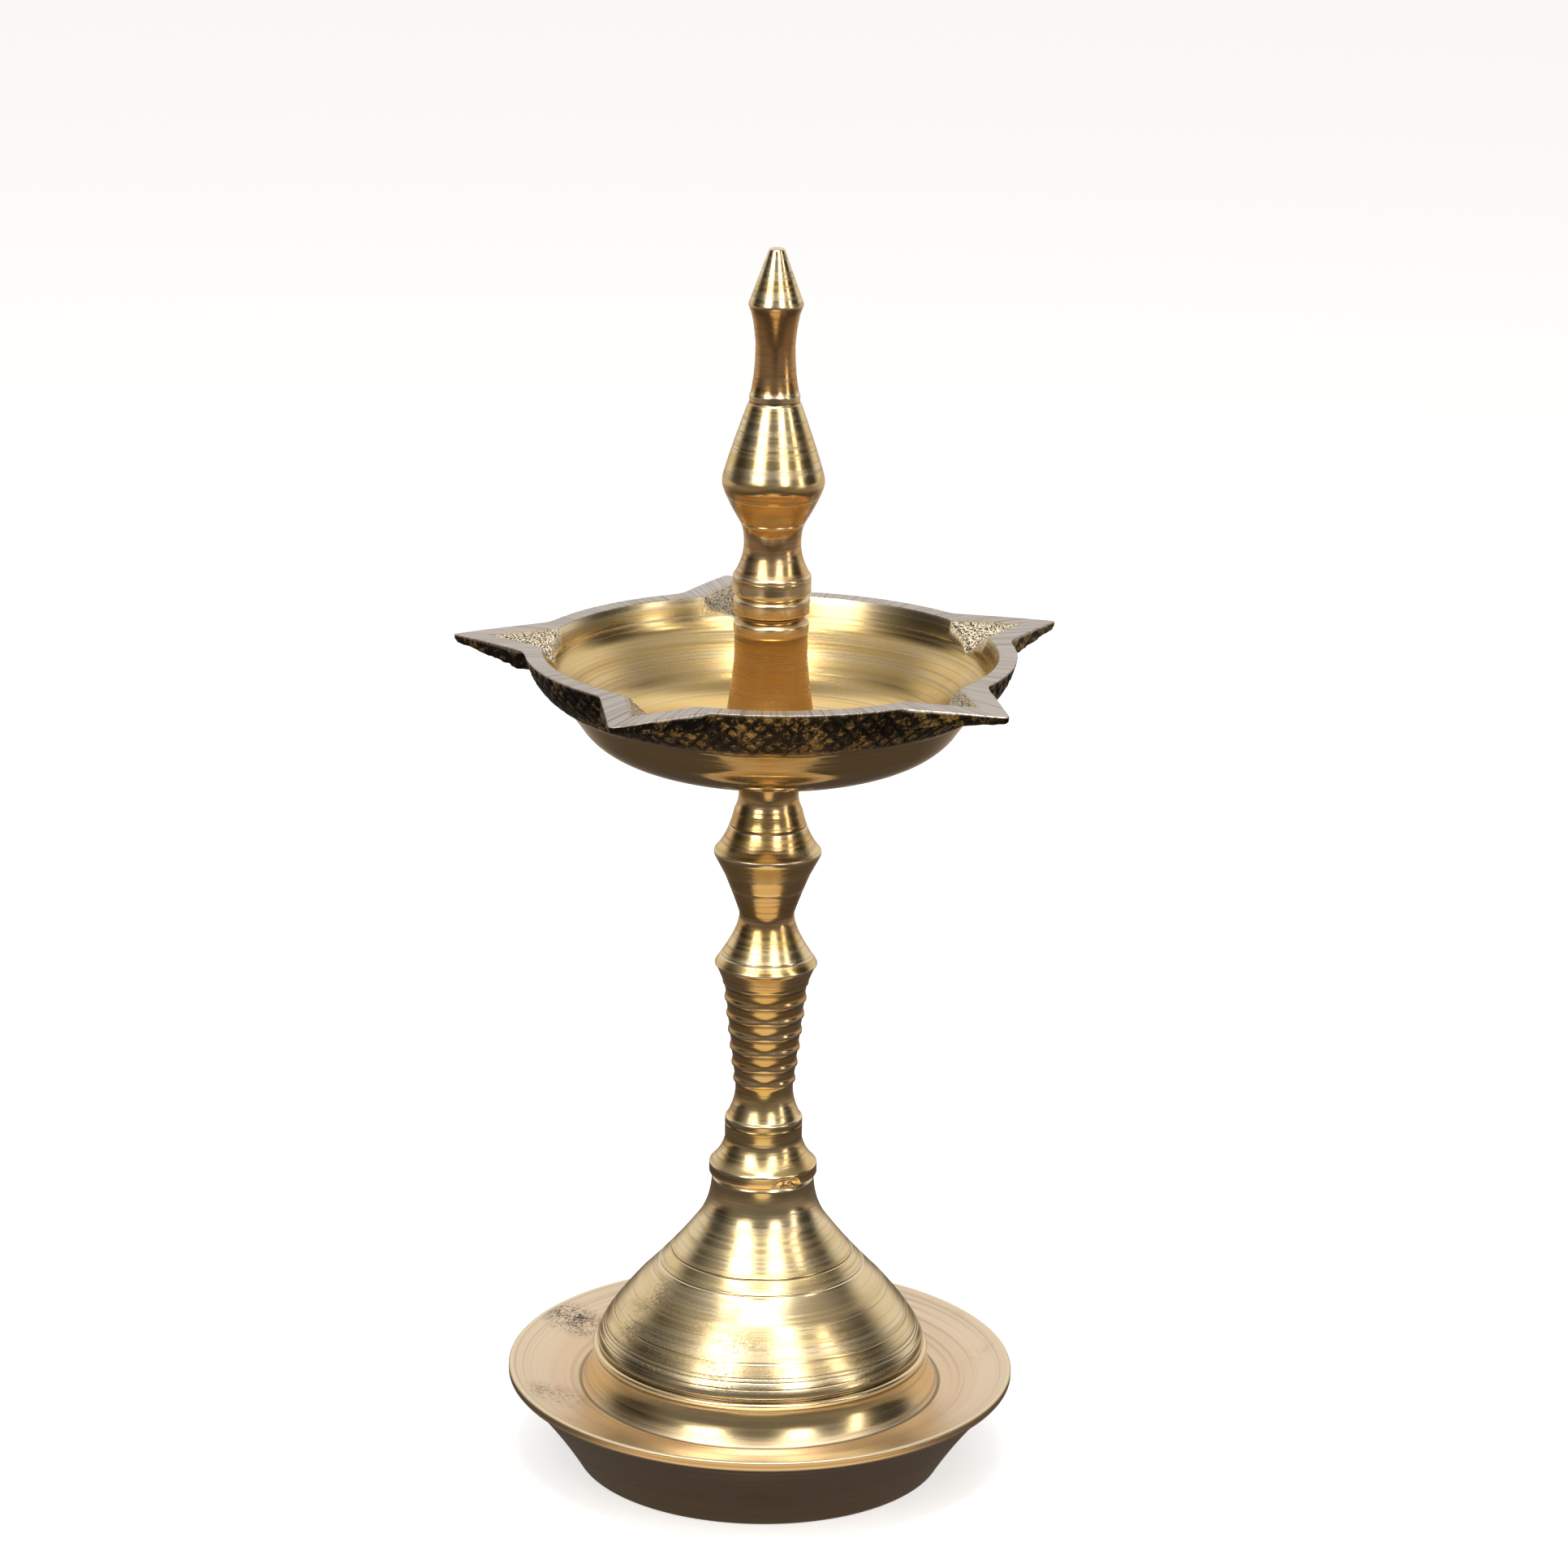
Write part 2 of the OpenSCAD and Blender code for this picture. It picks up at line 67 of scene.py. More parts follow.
def softened(points, radius, sharpest=22):
    # rounds each corner that turns by more than the given degrees
    result = [points[0]]
    for before, here, after in zip(points, points[1:], points[2:]):
        a = np.subtract(before, here)
        b = np.subtract(after, here)
        la, lb = np.hypot(*a), np.hypot(*b)
        turn = math.degrees(math.acos(max(-1, min(1, -np.dot(a, b) / la / lb))))
        if turn < sharpest:
            result.append(here)
            continue
        cut = min(radius, 0.42 * la, 0.42 * lb)
        p, q = here + a / la * cut, here + b / lb * cut
        for t in (0, 0.25, 0.5, 0.75, 1):
            result.append(tuple((1 - t) ** 2 * p + 2 * t * (1 - t) * np.array(here) + t * t * q))
    return result + [points[-1]]


def lengthAlong(points):
    return np.concatenate([[0], np.cumsum(np.hypot(*np.diff(points, axis=0).T))])


def resampled(points, step, cuts, cutWidth):
    # evenly filled outline that keeps its corners and has extra points at each engraved line
    points = np.array(points, float)
    run = lengthAlong(points)
    places = set(run.round(4))
    for a, b in zip(run, run[1:]):
        places.update(np.linspace(a, b, int((b - a) / step) + 2).round(4))
    dense = np.linspace(0, run[-1], 4000)
    track = np.stack([np.interp(dense, run, points[:, k]) for k in (0, 1)], 1)
    centres = []
    for cut in cuts:
        centre = dense[np.argmin(np.hypot(*(track - cut[:2]).T))]
        centres.append((centre, cut[2]))
        places.update((centre + np.array((-2, -1.3, -0.8, -0.4, 0, 0.4, 0.8, 1.3, 2)) * cutWidth).round(4))
    places = np.array(sorted({min(max(p, 0.0), run[-1]) for p in places}))
    keep = np.concatenate([[True], np.diff(places) > 0.012])
    keep[-1] = True
    places = places[keep]
    spots = np.stack([np.interp(places, run, points[:, k]) for k in (0, 1)], 1)
    slope = np.gradient(spots, axis=0)
    outward = np.stack([slope[:, 1], -slope[:, 0]], 1)
    outward /= np.hypot(*outward.T)[:, None]
    for centre, depth in centres:
        away = (places - centre) / cutWidth
        dip = -depth * np.exp(-away ** 2 * 2.2) + 0.22 * depth * np.exp(-(abs(away) - 1.5) ** 2 * 5)
        spots = spots + outward * dip[:, None]
    return spots


def bandValue(bands, radius, height):
    # bands are (lowest, highest, smallest radius, value), with soft ends
    total = np.zeros(len(height))
    for low, high, inner, value in bands:
        fade = 1 / (1 + np.exp(-(height - low) * 6)) * 1 / (1 + np.exp((height - high) * 6))
        total = np.maximum(total, value * fade * (radius > inner))
    return total


def profileMarks(spots):
    # for each point: length along the profile, how far it faces up, and how sharp its edge is
    run = lengthAlong(spots)
    slope = np.gradient(spots, axis=0)
    heading = np.unwrap(np.arctan2(slope[:, 1], slope[:, 0]))
    facing = -np.cos(heading)
    bend = np.gradient(heading, run)
    spread = np.exp(-((run[:, None] - run[None, :]) / 0.3) ** 2)
    bend = (spread * bend[None, :]).sum(1) / spread.sum(1)
    return np.stack([run, facing, np.clip(bend * 0.8, -1, 1)], 1)


def storeLayer(mesh, label, values, kind="FLOAT_VECTOR"):
    layer = mesh.attributes.new(label, kind, "POINT")
    field = "vector" if kind == "FLOAT_VECTOR" else "value"
    layer.data.foreach_set(field, np.asarray(values, np.float32).ravel())


def outlineMesh(name, shape):
    spots = resampled(softened(shape["path"], shape["edgeRadius"]), shape["rowStep"],
                      shape.get("cuts", []), shape.get("cutWidth", 0.25))
    mesh = bpy.data.meshes.new(name)
    mesh.from_pydata([(r * mm, 0, z * mm) for r, z in spots], [(i, i + 1) for i in range(len(spots) - 1)], [])
    marks = np.stack([bandValue(shape.get(k, []), spots[:, 0], spots[:, 1])
                      for k in ("tooling", "satin", "warm")], 1)
    storeLayer(mesh, "turned", profileMarks(spots))
    storeLayer(mesh, "finish", marks)
    piece = bpy.data.objects.new(name, mesh)
    bpy.context.scene.collection.objects.link(piece)
    return piece


# short ways to build node trees
def feed(tree, socket, value):
    if isinstance(value, bpy.types.NodeSocket):
        tree.links.new(value, socket)
    elif value is not None:
        socket.default_value = value


def calc(tree, operation, *values, clamp=False):
    node = tree.nodes.new("ShaderNodeMath")
    node.operation = operation
    node.use_clamp = clamp
    for socket, value in zip(node.inputs, values):
        feed(tree, socket, value)
    return node.outputs[0]


def vectorCalc(tree, operation, *values):
    node = tree.nodes.new("ShaderNodeVectorMath")
    node.operation = operation
    for socket, value in zip(node.inputs, values):
        feed(tree, socket, value)
    return node.outputs["Value" if operation in ("LENGTH", "DISTANCE", "DOT_PRODUCT") else "Vector"]


def joinXyz(tree, x, y, z):
    node = tree.nodes.new("ShaderNodeCombineXYZ")
    for socket, value in zip(node.inputs, (x, y, z)):
        feed(tree, socket, value)
    return node.outputs[0]


def splitXyz(tree, vector):
    node = tree.nodes.new("ShaderNodeSeparateXYZ")
    feed(tree, node.inputs[0], vector)
    return node.outputs


def between(tree, value, low, high, outLow=0.0, outHigh=1.0):
    node = tree.nodes.new("ShaderNodeMapRange")
    node.interpolation_type = "SMOOTHSTEP"
    for key, given in zip(("Value", "From Min", "From Max", "To Min", "To Max"),
                          (value, low, high, outLow, outHigh)):
        feed(tree, node.inputs[key], given)
    return node.outputs["Result"]


def cloudy(tree, vector, scale, detail=2.0, rough=0.5):
    node = tree.nodes.new("ShaderNodeTexNoise")
    for key, given in (("Vector", vector), ("Scale", scale), ("Detail", detail), ("Roughness", rough)):
        feed(tree, node.inputs[key], given)
    return node.outputs["Fac"]


def blendColour(tree, amount, first, second, mode="MIX"):
    node = tree.nodes.new("ShaderNodeMix")
    node.data_type = "RGBA"
    node.blend_type = mode
    for index, given in ((0, amount), (6, first), (7, second)):
        feed(tree, node.inputs[index], given)
    return node.outputs[2]


latheValues = {"wobbleAlong": 60.0, "wobbleScale": 1.3, "weld": 1e-7}


def latheTree(v):
    # geometry nodes that turn an outline into a closed solid
    tree = bpy.data.node_groups.new("turnOutline", "GeometryNodeTree")
    face = tree.interface
    face.new_socket("Outline", in_out="INPUT", socket_type="NodeSocketGeometry")
    face.new_socket("Segments", in_out="INPUT", socket_type="NodeSocketInt")
    face.new_socket("Hand Wobble", in_out="INPUT", socket_type="NodeSocketFloat")
    face.new_socket("Seed", in_out="INPUT", socket_type="NodeSocketInt")
    face.new_socket("Finish", in_out="INPUT", socket_type="NodeSocketMaterial")
    face.new_socket("Turned Piece", in_out="OUTPUT", socket_type="NodeSocketGeometry")
    given = tree.nodes.new("NodeGroupInput").outputs
    size = tree.nodes.new("GeometryNodeAttributeDomainSize")
    feed(tree, size.inputs[0], given["Outline"])
    rows = size.outputs["Point Count"]
    sheet = tree.nodes.new("GeometryNodeMeshGrid")
    feed(tree, sheet.inputs["Size X"], 1.0)
    feed(tree, sheet.inputs["Size Y"], 1.0)
    feed(tree, sheet.inputs["Vertices X"], calc(tree, "ADD", given["Segments"], 1.0))
    feed(tree, sheet.inputs["Vertices Y"], rows)
    spot = splitXyz(tree, tree.nodes.new("GeometryNodeInputPosition").outputs[0])
    lastRow = calc(tree, "SUBTRACT", rows, 1.0)
    row = calc(tree, "ROUND", calc(tree, "MULTIPLY", calc(tree, "ADD", spot[1], 0.5), lastRow))
    angle = calc(tree, "MULTIPLY", calc(tree, "ADD", spot[0], 0.5), 2 * math.pi)

    def fromOutline(value):
        node = tree.nodes.new("GeometryNodeSampleIndex")
        node.data_type = "FLOAT_VECTOR"
        feed(tree, node.inputs["Geometry"], given["Outline"])
        feed(tree, node.inputs["Value"], value)
        feed(tree, node.inputs["Index"], row)
        return node.outputs[0]

    shape = sheet.outputs["Mesh"]
    for label in ("turned", "finish"):
        layer = tree.nodes.new("GeometryNodeInputNamedAttribute")
        layer.data_type = "FLOAT_VECTOR"
        layer.inputs["Name"].default_value = label
        store = tree.nodes.new("GeometryNodeStoreNamedAttribute")
        store.data_type = "FLOAT_VECTOR"
        store.inputs["Name"].default_value = label
        feed(tree, store.inputs["Geometry"], shape)
        feed(tree, store.inputs["Value"], fromOutline(layer.outputs["Attribute"]))
        shape = store.outputs["Geometry"]
    on = splitXyz(tree, fromOutline(tree.nodes.new("GeometryNodeInputPosition").outputs[0]))
    across, ahead = calc(tree, "COSINE", angle), calc(tree, "SINE", angle)
    wander = tree.nodes.new("ShaderNodeTexNoise")
    wander.noise_dimensions = "4D"
    feed(tree, wander.inputs["Vector"],
         joinXyz(tree, across, ahead, calc(tree, "MULTIPLY", on[2], v["wobbleAlong"])))
    feed(tree, wander.inputs["W"], given["Seed"])
    feed(tree, wander.inputs["Scale"], v["wobbleScale"])
    shift = calc(tree, "MULTIPLY", calc(tree, "SUBTRACT", wander.outputs["Fac"], 0.5), given["Hand Wobble"])
    reach = calc(tree, "MULTIPLY", on[0], calc(tree, "ADD", shift, 1.0))
    place = tree.nodes.new("GeometryNodeSetPosition")
    feed(tree, place.inputs["Geometry"], shape)
    feed(tree, place.inputs["Position"],
         joinXyz(tree, calc(tree, "MULTIPLY", reach, across), calc(tree, "MULTIPLY", reach, ahead), on[2]))
    close = tree.nodes.new("GeometryNodeMergeByDistance")
    feed(tree, close.inputs["Geometry"], place.outputs[0])
    feed(tree, close.inputs["Distance"], v["weld"])
    smooth = tree.nodes.new("GeometryNodeSetShadeSmooth")
    feed(tree, smooth.inputs["Geometry"], close.outputs[0])
    real = tree.nodes.new("GeometryNodeRealizeInstances")
    feed(tree, real.inputs[0], smooth.outputs[0])
    coat = tree.nodes.new("GeometryNodeSetMaterial")
    feed(tree, coat.inputs["Geometry"], real.outputs[0])
    feed(tree, coat.inputs["Material"], given["Finish"])
    feed(tree, tree.nodes.new("NodeGroupOutput").inputs[0], coat.outputs[0])
    return tree


def grown(piece, tree, **values):
    # sets the tree's inputs, then turns the result into a plain mesh
    step = piece.modifiers.new(tree.name, "NODES")
    step.node_group = tree
    for item in tree.interface.items_tree:
        if item.in_out == "INPUT" and item.name in values:
            step[item.identifier] = values[item.name]
    bpy.context.view_layer.update()
    graph = bpy.context.evaluated_depsgraph_get()
    mesh = bpy.data.meshes.new_from_object(piece.evaluated_get(graph), depsgraph=graph)
    piece.modifiers.remove(step)
    piece.data = mesh
    return piece


brassTones = {
    "pale": (0.90, 0.77, 0.53, 1),
    "gold": (0.80, 0.55, 0.20, 1),
    "blush": (0.86, 0.71, 0.56, 1),
    "copper": (0.62, 0.33, 0.12, 1),
    "brown": (0.30, 0.235, 0.19, 1),
    "dark": (0.055, 0.045, 0.038, 1),
    "patina": (0.030, 0.024, 0.020, 1),
    "oldGold": (0.46, 0.31, 0.12, 1),
    "filed": (0.60, 0.54, 0.49, 1),
    "filedLine": (0.27, 0.23, 0.20, 1),
    "sand": (0.80, 0.69, 0.50, 1),
}
# turning lines: spacing in millimetres, and how quickly a line changes round the piece;
# scales are per metre
grainValues = {
    "fine": (0.16, 0.9), "middle": (0.55, 0.5), "broad": (2.6, 0.35), "fineShare": 0.35,
    "speckScale": 1900.0, "pitScale": 700.0, "streakScale": (90.0, 90.0, 420.0),
    "plainDepth": 0.35, "underSmooth": 0.44, "underGloss": -0.09, "stainDull": 0.25, "edgePolishAndHighlight": 0.6,
}
castValues = {
    "speckScale": 1500.0, "patchScale": 150.0, "glintScale": 2600.0, "strokeScale": 120.0,
    "hatchShade": 0.16, "castRoughness": 0.36, "filedRoughness": 0.34, "sandRoughness": 0.38,
    "castDepth": 16.0, "filedDepth": 5.0, "sandDepth": 22.0,
}


def mixValue(tree, amount, first, second):
    return calc(tree, "ADD", calc(tree, "MULTIPLY", calc(tree, "SUBTRACT", 1.0, amount), first),
                calc(tree, "MULTIPLY", amount, second))


def namedLayer(tree, label, output="Vector"):
    node = tree.nodes.new("ShaderNodeAttribute")
    node.attribute_name = label
    return node.outputs[output]


def castSkin(tree, place, around, colour, rough, height):
    # as-cast band, filed rim and sand-rough grooves laid over the turned finish
    v = castValues
    cast, filed, sand = splitXyz(tree, namedLayer(tree, "skin"))[0:3]
    hatch = namedLayer(tree, "hatch", "Fac")
    speck = cloudy(tree, place, v["speckScale"], 3.0, 0.7)
    patch = cloudy(tree, place, v["patchScale"], 3.0, 0.6)
    glint = cloudy(tree, place, v["glintScale"], 2.0, 0.7)
    strokes = cloudy(tree, joinXyz(tree, calc(tree, "MULTIPLY", around[0], v["strokeScale"]),
                                   calc(tree, "MULTIPLY", around[1], v["strokeScale"]), 0.0), 1.0, 3.0, 0.6)
    mixed = calc(tree, "ADD", calc(tree, "MULTIPLY", speck, 0.55), calc(tree, "MULTIPLY", patch, 0.45))
    raised = calc(tree, "SUBTRACT", mixed, calc(tree, "MULTIPLY", hatch, v["hatchShade"]))
    worn = between(tree, raised, 0.44, 0.60)
    skin = blendColour(tree, worn, brassTones["patina"], brassTones["oldGold"])
    strip = blendColour(tree, between(tree, strokes, 0.46, 0.66),
                        brassTones["filed"], brassTones["filedLine"])
    grit = blendColour(tree, between(tree, glint, 0.40, 0.56), brassTones["dark"], brassTones["sand"])
    for mask, over in ((cast, skin), (filed, strip), (sand, grit)):
        colour = blendColour(tree, mask, colour, over)
    for mask, value in ((cast, v["castRoughness"]), (filed, v["filedRoughness"]), (sand, v["sandRoughness"])):
        rough = mixValue(tree, mask, rough, value)
    for mask, texture, depth in ((cast, speck, v["castDepth"]), (filed, strokes, v["filedDepth"]),
                                 (sand, glint, v["sandDepth"])):
        relief = calc(tree, "MULTIPLY", texture, depth)
        height = calc(tree, "ADD", height, calc(tree, "MULTIPLY", mask, relief))
    return colour, rough, height


def turnedBrass(name, look):
    finish = bpy.data.materials.new(name)
    finish.use_nodes = True
    tree = finish.node_tree
    shader = tree.nodes["Principled BSDF"]
    shader.inputs["Metallic"].default_value = 1.0
    shader.inputs["Anisotropic"].default_value = look["stretch"]
    place = tree.nodes.new("ShaderNodeTexCoord").outputs["Object"]
    flat = vectorCalc(tree, "MULTIPLY", place, (1.0, 1.0, 0.0))
    turnWay = splitXyz(tree, vectorCalc(tree, "NORMALIZE", flat))
    run, facing, edge = splitXyz(tree, namedLayer(tree, "turned"))[0:3]
    tooling, satin, warm = splitXyz(tree, namedLayer(tree, "finish"))[0:3]

    def latheLines(pitch, wrap):
        return cloudy(tree, joinXyz(tree, calc(tree, "MULTIPLY", turnWay[0], wrap),
                                    calc(tree, "MULTIPLY", turnWay[1], wrap),
                                    calc(tree, "DIVIDE", run, pitch)), 1.0, 1.0)

    v = grainValues
    fine = latheLines(*v["fine"])
    middle = latheLines(*v["middle"])
    broad = latheLines(*v["broad"])
    cloud = cloudy(tree, place, look["cloudScale"], 3.0, 0.6)
    speck = cloudy(tree, place, v["speckScale"], 2.0, 0.7)
    # colour: pale to gold in turned bands, copper where warm, brown in hollows and on worn patches, and
    # painted shade in brown on surfaces that face down
    tone = calc(tree, "ADD", calc(tree, "MULTIPLY", broad, 0.6), calc(tree, "MULTIPLY", cloud, 0.4))
    colour = blendColour(tree, between(tree, tone, 0.36, 0.64, look["gold"][0], look["gold"][1]),
                         brassTones["pale"], brassTones["gold"])
    colour = blendColour(tree, calc(tree, "MULTIPLY", satin, look.get("blush", 0.0), clamp=True),
                         colour, brassTones["blush"])
    colour = blendColour(tree, warm, colour, brassTones["copper"])
    colour = blendColour(tree, between(tree, middle, 0.52, 0.75, 0.0, look["lineShade"]),
                         colour, brassTones["brown"])
    # painted shade: surfaces that face down are blended towards brown; the same mask also makes them glossier
    # with shallower turning lines
    under = between(tree, facing, -0.15, -0.9, 0.0, look["underside"])
    colour = blendColour(tree, under, colour, brassTones["brown"])
    smudge = None
    for spot in look.get("smudges", []):
        gap = vectorCalc(tree, "DISTANCE", place, tuple(c * mm for c in spot["at"]))
        near = between(tree, gap, spot["size"] * mm, spot["size"] * 0.25 * mm)
        patch = calc(tree, "MULTIPLY", near, spot["strength"])
        smudge = patch if smudge is None else calc(tree, "MAXIMUM", smudge, patch)
    worn = between(tree, cloud, 0.55, 0.8, 0.0, look["wear"])
    if smudge is not None:
        worn = calc(tree, "MAXIMUM", worn, smudge)
    streaky = cloudy(tree, vectorCalc(tree, "MULTIPLY", place, v["streakScale"]), 1.0, 4.0, 0.7)
    spotted = calc(tree, "ADD", calc(tree, "MULTIPLY", speck, 0.5), calc(tree, "MULTIPLY", streaky, 0.5))
    stain = calc(tree, "MULTIPLY", worn, between(tree, spotted, 0.45, 0.62), clamp=True)
    colour = blendColour(tree, stain, colour, brassTones["dark"])
    # painted shade: concave bends and engraved lines of the profile go towards near black
    crevice = between(tree, edge, -0.4, -0.95, 0.0, look["grime"])
    colour = blendColour(tree, crevice, colour, brassTones["dark"])
    # convex edges go paler: partly rubbed wear, partly painted highlight along edges and beside engraved
    # lines
    rubbedAndHighlit = between(tree, edge, 0.35, 0.8, 0.0, v["edgePolishAndHighlight"])
    colour = blendColour(tree, rubbedAndHighlit, colour, brassTones["pale"])
    rough = calc(tree, "ADD", look["roughness"], calc(tree, "MULTIPLY", satin, look["satinRoughness"]))
    rough = calc(tree, "ADD", rough, between(tree, middle, 0.35, 0.7, -0.03, 0.07))
    rough = calc(tree, "ADD", rough, calc(tree, "MULTIPLY", under, v["underGloss"]))
    rough = calc(tree, "ADD", rough, calc(tree, "MULTIPLY", stain, v["stainDull"]), clamp=True)
    lines = calc(tree, "ADD", calc(tree, "MULTIPLY", fine, v["fineShare"]), middle)
    depth = calc(tree, "SUBTRACT", calc(tree, "ADD", v["plainDepth"], tooling),
                 calc(tree, "MULTIPLY", under, v["underSmooth"]))
    height = calc(tree, "MULTIPLY", lines, depth)
    pits = cloudy(tree, place, v["pitScale"], 3.0)
    height = calc(tree, "ADD", height, calc(tree, "MULTIPLY", pits, look["pitting"]))
    if look.get("castSkin"):
        colour, rough, height = castSkin(tree, place, turnWay, colour, rough, height)
    feed(tree, shader.inputs["Base Color"], colour)
    feed(tree, shader.inputs["Roughness"], rough)
    relief = tree.nodes.new("ShaderNodeBump")
    feed(tree, relief.inputs["Height"], height)
    feed(tree, relief.inputs["Strength"], 1.0)
    feed(tree, relief.inputs["Distance"], look["lineDepth"] * mm)
    feed(tree, shader.inputs["Normal"], relief.outputs[0])
    grainWay = tree.nodes.new("ShaderNodeTangent")
    grainWay.direction_type = "RADIAL"
    grainWay.axis = "Z"
    feed(tree, shader.inputs["Tangent"], grainWay.outputs[0])
    return finish


lathe = latheTree(latheValues)


def turnedOnLathe(piece, v, finishName):
    return grown(piece, lathe, **{"Segments": v["segments"], "Hand Wobble": v["wobble"], "Seed": v["seed"],
                                  "Finish": turnedBrass(finishName, v["look"])})



baseValues = {
    "segments": 224, "wobble": 0.002, "seed": 3, "edgeRadius": 0.3, "rowStep": 0.75, "cutWidth": 0.17,
    "path": trace(
        (0, 49.2), (6.05, 49.2), (22.6, 36.35), ((30.3, 27.0), (31.5, 21.6)), (34.2, 16.2), (37.2, 13.2),
        (39.9, 9.9), (34.9, 0.0), (38.0, 0.0), ((43.3, 8.9), (50.3, 16.8)), (51.9, 17.8), (52.35, 18.3),
        (52.35, 19.7), (51.9, 20.0), ((43.2, 16.8), (37.2, 16.2)), ((34.9, 19.6), (34.45, 23.1)),
        (34.75, 23.5), (34.8, 24.2), (34.4, 24.6), (33.55, 24.7), (33.5, 25.3), (34.0, 25.5),
        ((33.4, 28.8), (25.6, 37.8)), ((18.3, 45.1), (13.0, 52.4)), ((10.7, 56.1), (10.5, 61.1)),
        (9.9, 61.8), (3.05, 61.8), (3.05, 52.2), (0, 52.2)),
    "cuts": [(21.0, 42.5, 0.11), (18.5, 45.0, 0.11), (40.2, 7.6, 0.10), (37.3, 16.3, 0.06),
             (30.9, 32.0, 0.04), (33.0, 28.6, 0.05), (32.6, 29.4, 0.05), (33.5, 27.2, 0.05)],
    "tooling": [(25.5, 31.5, 20, 0.9), (46, 53, 9, 0.6), (16, 19.7, 38, 0.7), (17, 23, 33, 0.15)],
    "satin": [(16, 20.1, 38.5, 1.0), (-2, 17.5, 34, 0.5)],
    "warm": [(17.9, 19.8, 52.2, 0.75), (-2, 17.6, 34, 0.2)],
    "look": {"roughness": 0.20, "satinRoughness": 0.2, "stretch": 0.6, "gold": (0.3, 0.6),
             "lineShade": 0.3, "underside": 0.75, "wear": 0.3, "grime": 0.6, "pitting": 0.25,
             "cloudScale": 75.0, "lineDepth": 0.009, "blush": 0.75,
             "smudges": [{"at": (-22, -22, 37), "size": 19, "strength": 0.75},
                         {"at": (-4, -31, 31), "size": 13, "strength": 0.7},
                         {"at": (-40, 24, 17.5), "size": 9, "strength": 1.0},
                         {"at": (-42, -15, 17.5), "size": 9, "strength": 0.6}]},
}


def makeBase():
    piece = outlineMesh("lampBase", baseValues)
    return turnedOnLathe(piece, baseValues, "polishedBase")


stemValues = {
    "segments": 160, "wobble": 0.003, "seed": 8, "edgeRadius": 0.3, "rowStep": 0.6, "cutWidth": 0.2,
    "rings": 6, "ringPitch": 3.5, "ringsFrom": 81.7, "ringLow": 6.15, "ringHigh": 8.55, "ringLip": 0.45,
    "cuts": [(7.95, 72.9, 0.1), (7.7, 136.6, 0.12), (7.6, 123.2, 0.1), (9.3, 109.2, 0.08)],
    "tooling": [(64, 69, 5, 0.8), (75, 81, 5, 0.6), (84, 106, 5, 0.4), (132, 149, 5, 0.8)],
    "warm": [(82, 106, 5, 0.3), (114, 126, 5, 0.45), (133, 146, 5, 0.4)],
    "flaw": {"turn": 297, "height": 62.1, "halfWidth": 3.3, "halfTall": 1.7, "depth": 1.5},
    "look": {"roughness": 0.20, "satinRoughness": 0.2, "stretch": 0.55, "gold": (0.5, 1.0),
             "lineShade": 0.55, "underside": 0.3, "wear": 0.3, "grime": 0.4, "pitting": 0.2,
             "cloudScale": 120.0, "lineDepth": 0.011},
}


def stemPath(v):
    top = v["ringsFrom"] + v["rings"] * v["ringPitch"]
    moves = []
    for i in range(v["rings"] + 1):
        z = v["ringsFrom"] + i * v["ringPitch"]
        r = v["ringLow"] + (v["ringHigh"] - v["ringLow"]) * i / v["rings"]
        after = r + (v["ringHigh"] - v["ringLow"]) / v["rings"]
        lip = v["ringLip"]
        moves += [(r - lip * 0.35, z), (r + lip * 0.6, z + v["ringPitch"] * 0.1),
                  (r + lip * 0.55, z + v["ringPitch"] * 0.26)]
        if i < v["rings"]:
            moves.append(((r - lip * 0.3, z + v["ringPitch"] * 0.5),
                          (after - lip * 0.5, z + v["ringPitch"] * 0.8)))
    return trace(
        (0, 71.4), (3.05, 71.4), (3.05, 61.8), (10.7, 61.8), (11.1, 62.2), (11.1, 64.3), (10.7, 64.7),
        ((8.5, 66.75), (7.9, 69.8)), (7.95, 70.2), (7.95, 74.2), (7.5, 74.6), ((5.55, 78.5), (6.0, 81.7)),
        *moves, ((9.65, 105.85), (10.15, 106.8)), (10.55, 107.2), (10.15, 108.0),
        ((5.4, 114.7), (5.6, 118.1)), ((6.8, 121.7), (8.7, 126.3)), (10.9, 130.5), (10.9, 131.3),
        ((8.2, 134.1), (6.9, 139.9)), ((6.05, 141.5), (6.05, 143.3)), ((6.25, 147.4), (7.2, 148.6)),
        (6.8, 149.0), (3.05, 149.0), (3.05, 139.4), (0, 139.4))


def makeStem():
    shape = dict(stemValues, path=stemPath(stemValues))
    piece = outlineMesh("lampStem", shape)
    turnedOnLathe(piece, shape, "polishedStem")
    scoopCollar(piece.data, shape["flaw"])
    return piece


def scoopCollar(mesh, v):
    # casting flaw: an oval bite out of the collar's lower edge
    for vertex in mesh.vertices:
        x, y, z = vertex.co / mm
        r = math.hypot(x, y)
        if r < 8 or z > 66:
            continue
        off = (math.degrees(math.atan2(y, x)) - v["turn"] + 180) % 360 - 180
        across = math.radians(off) * r / v["halfWidth"]
        up = (z - v["height"]) / v["halfTall"]
        inside = 1 - across * across - up * up
        if inside > 0:
            deep = v["depth"] * min(1, inside * 2.5) * (0.8 + 0.4 * grain.noise(vertex.co * 900))
            vertex.co.x -= x / r * deep * mm
            vertex.co.y -= y / r * deep * mm


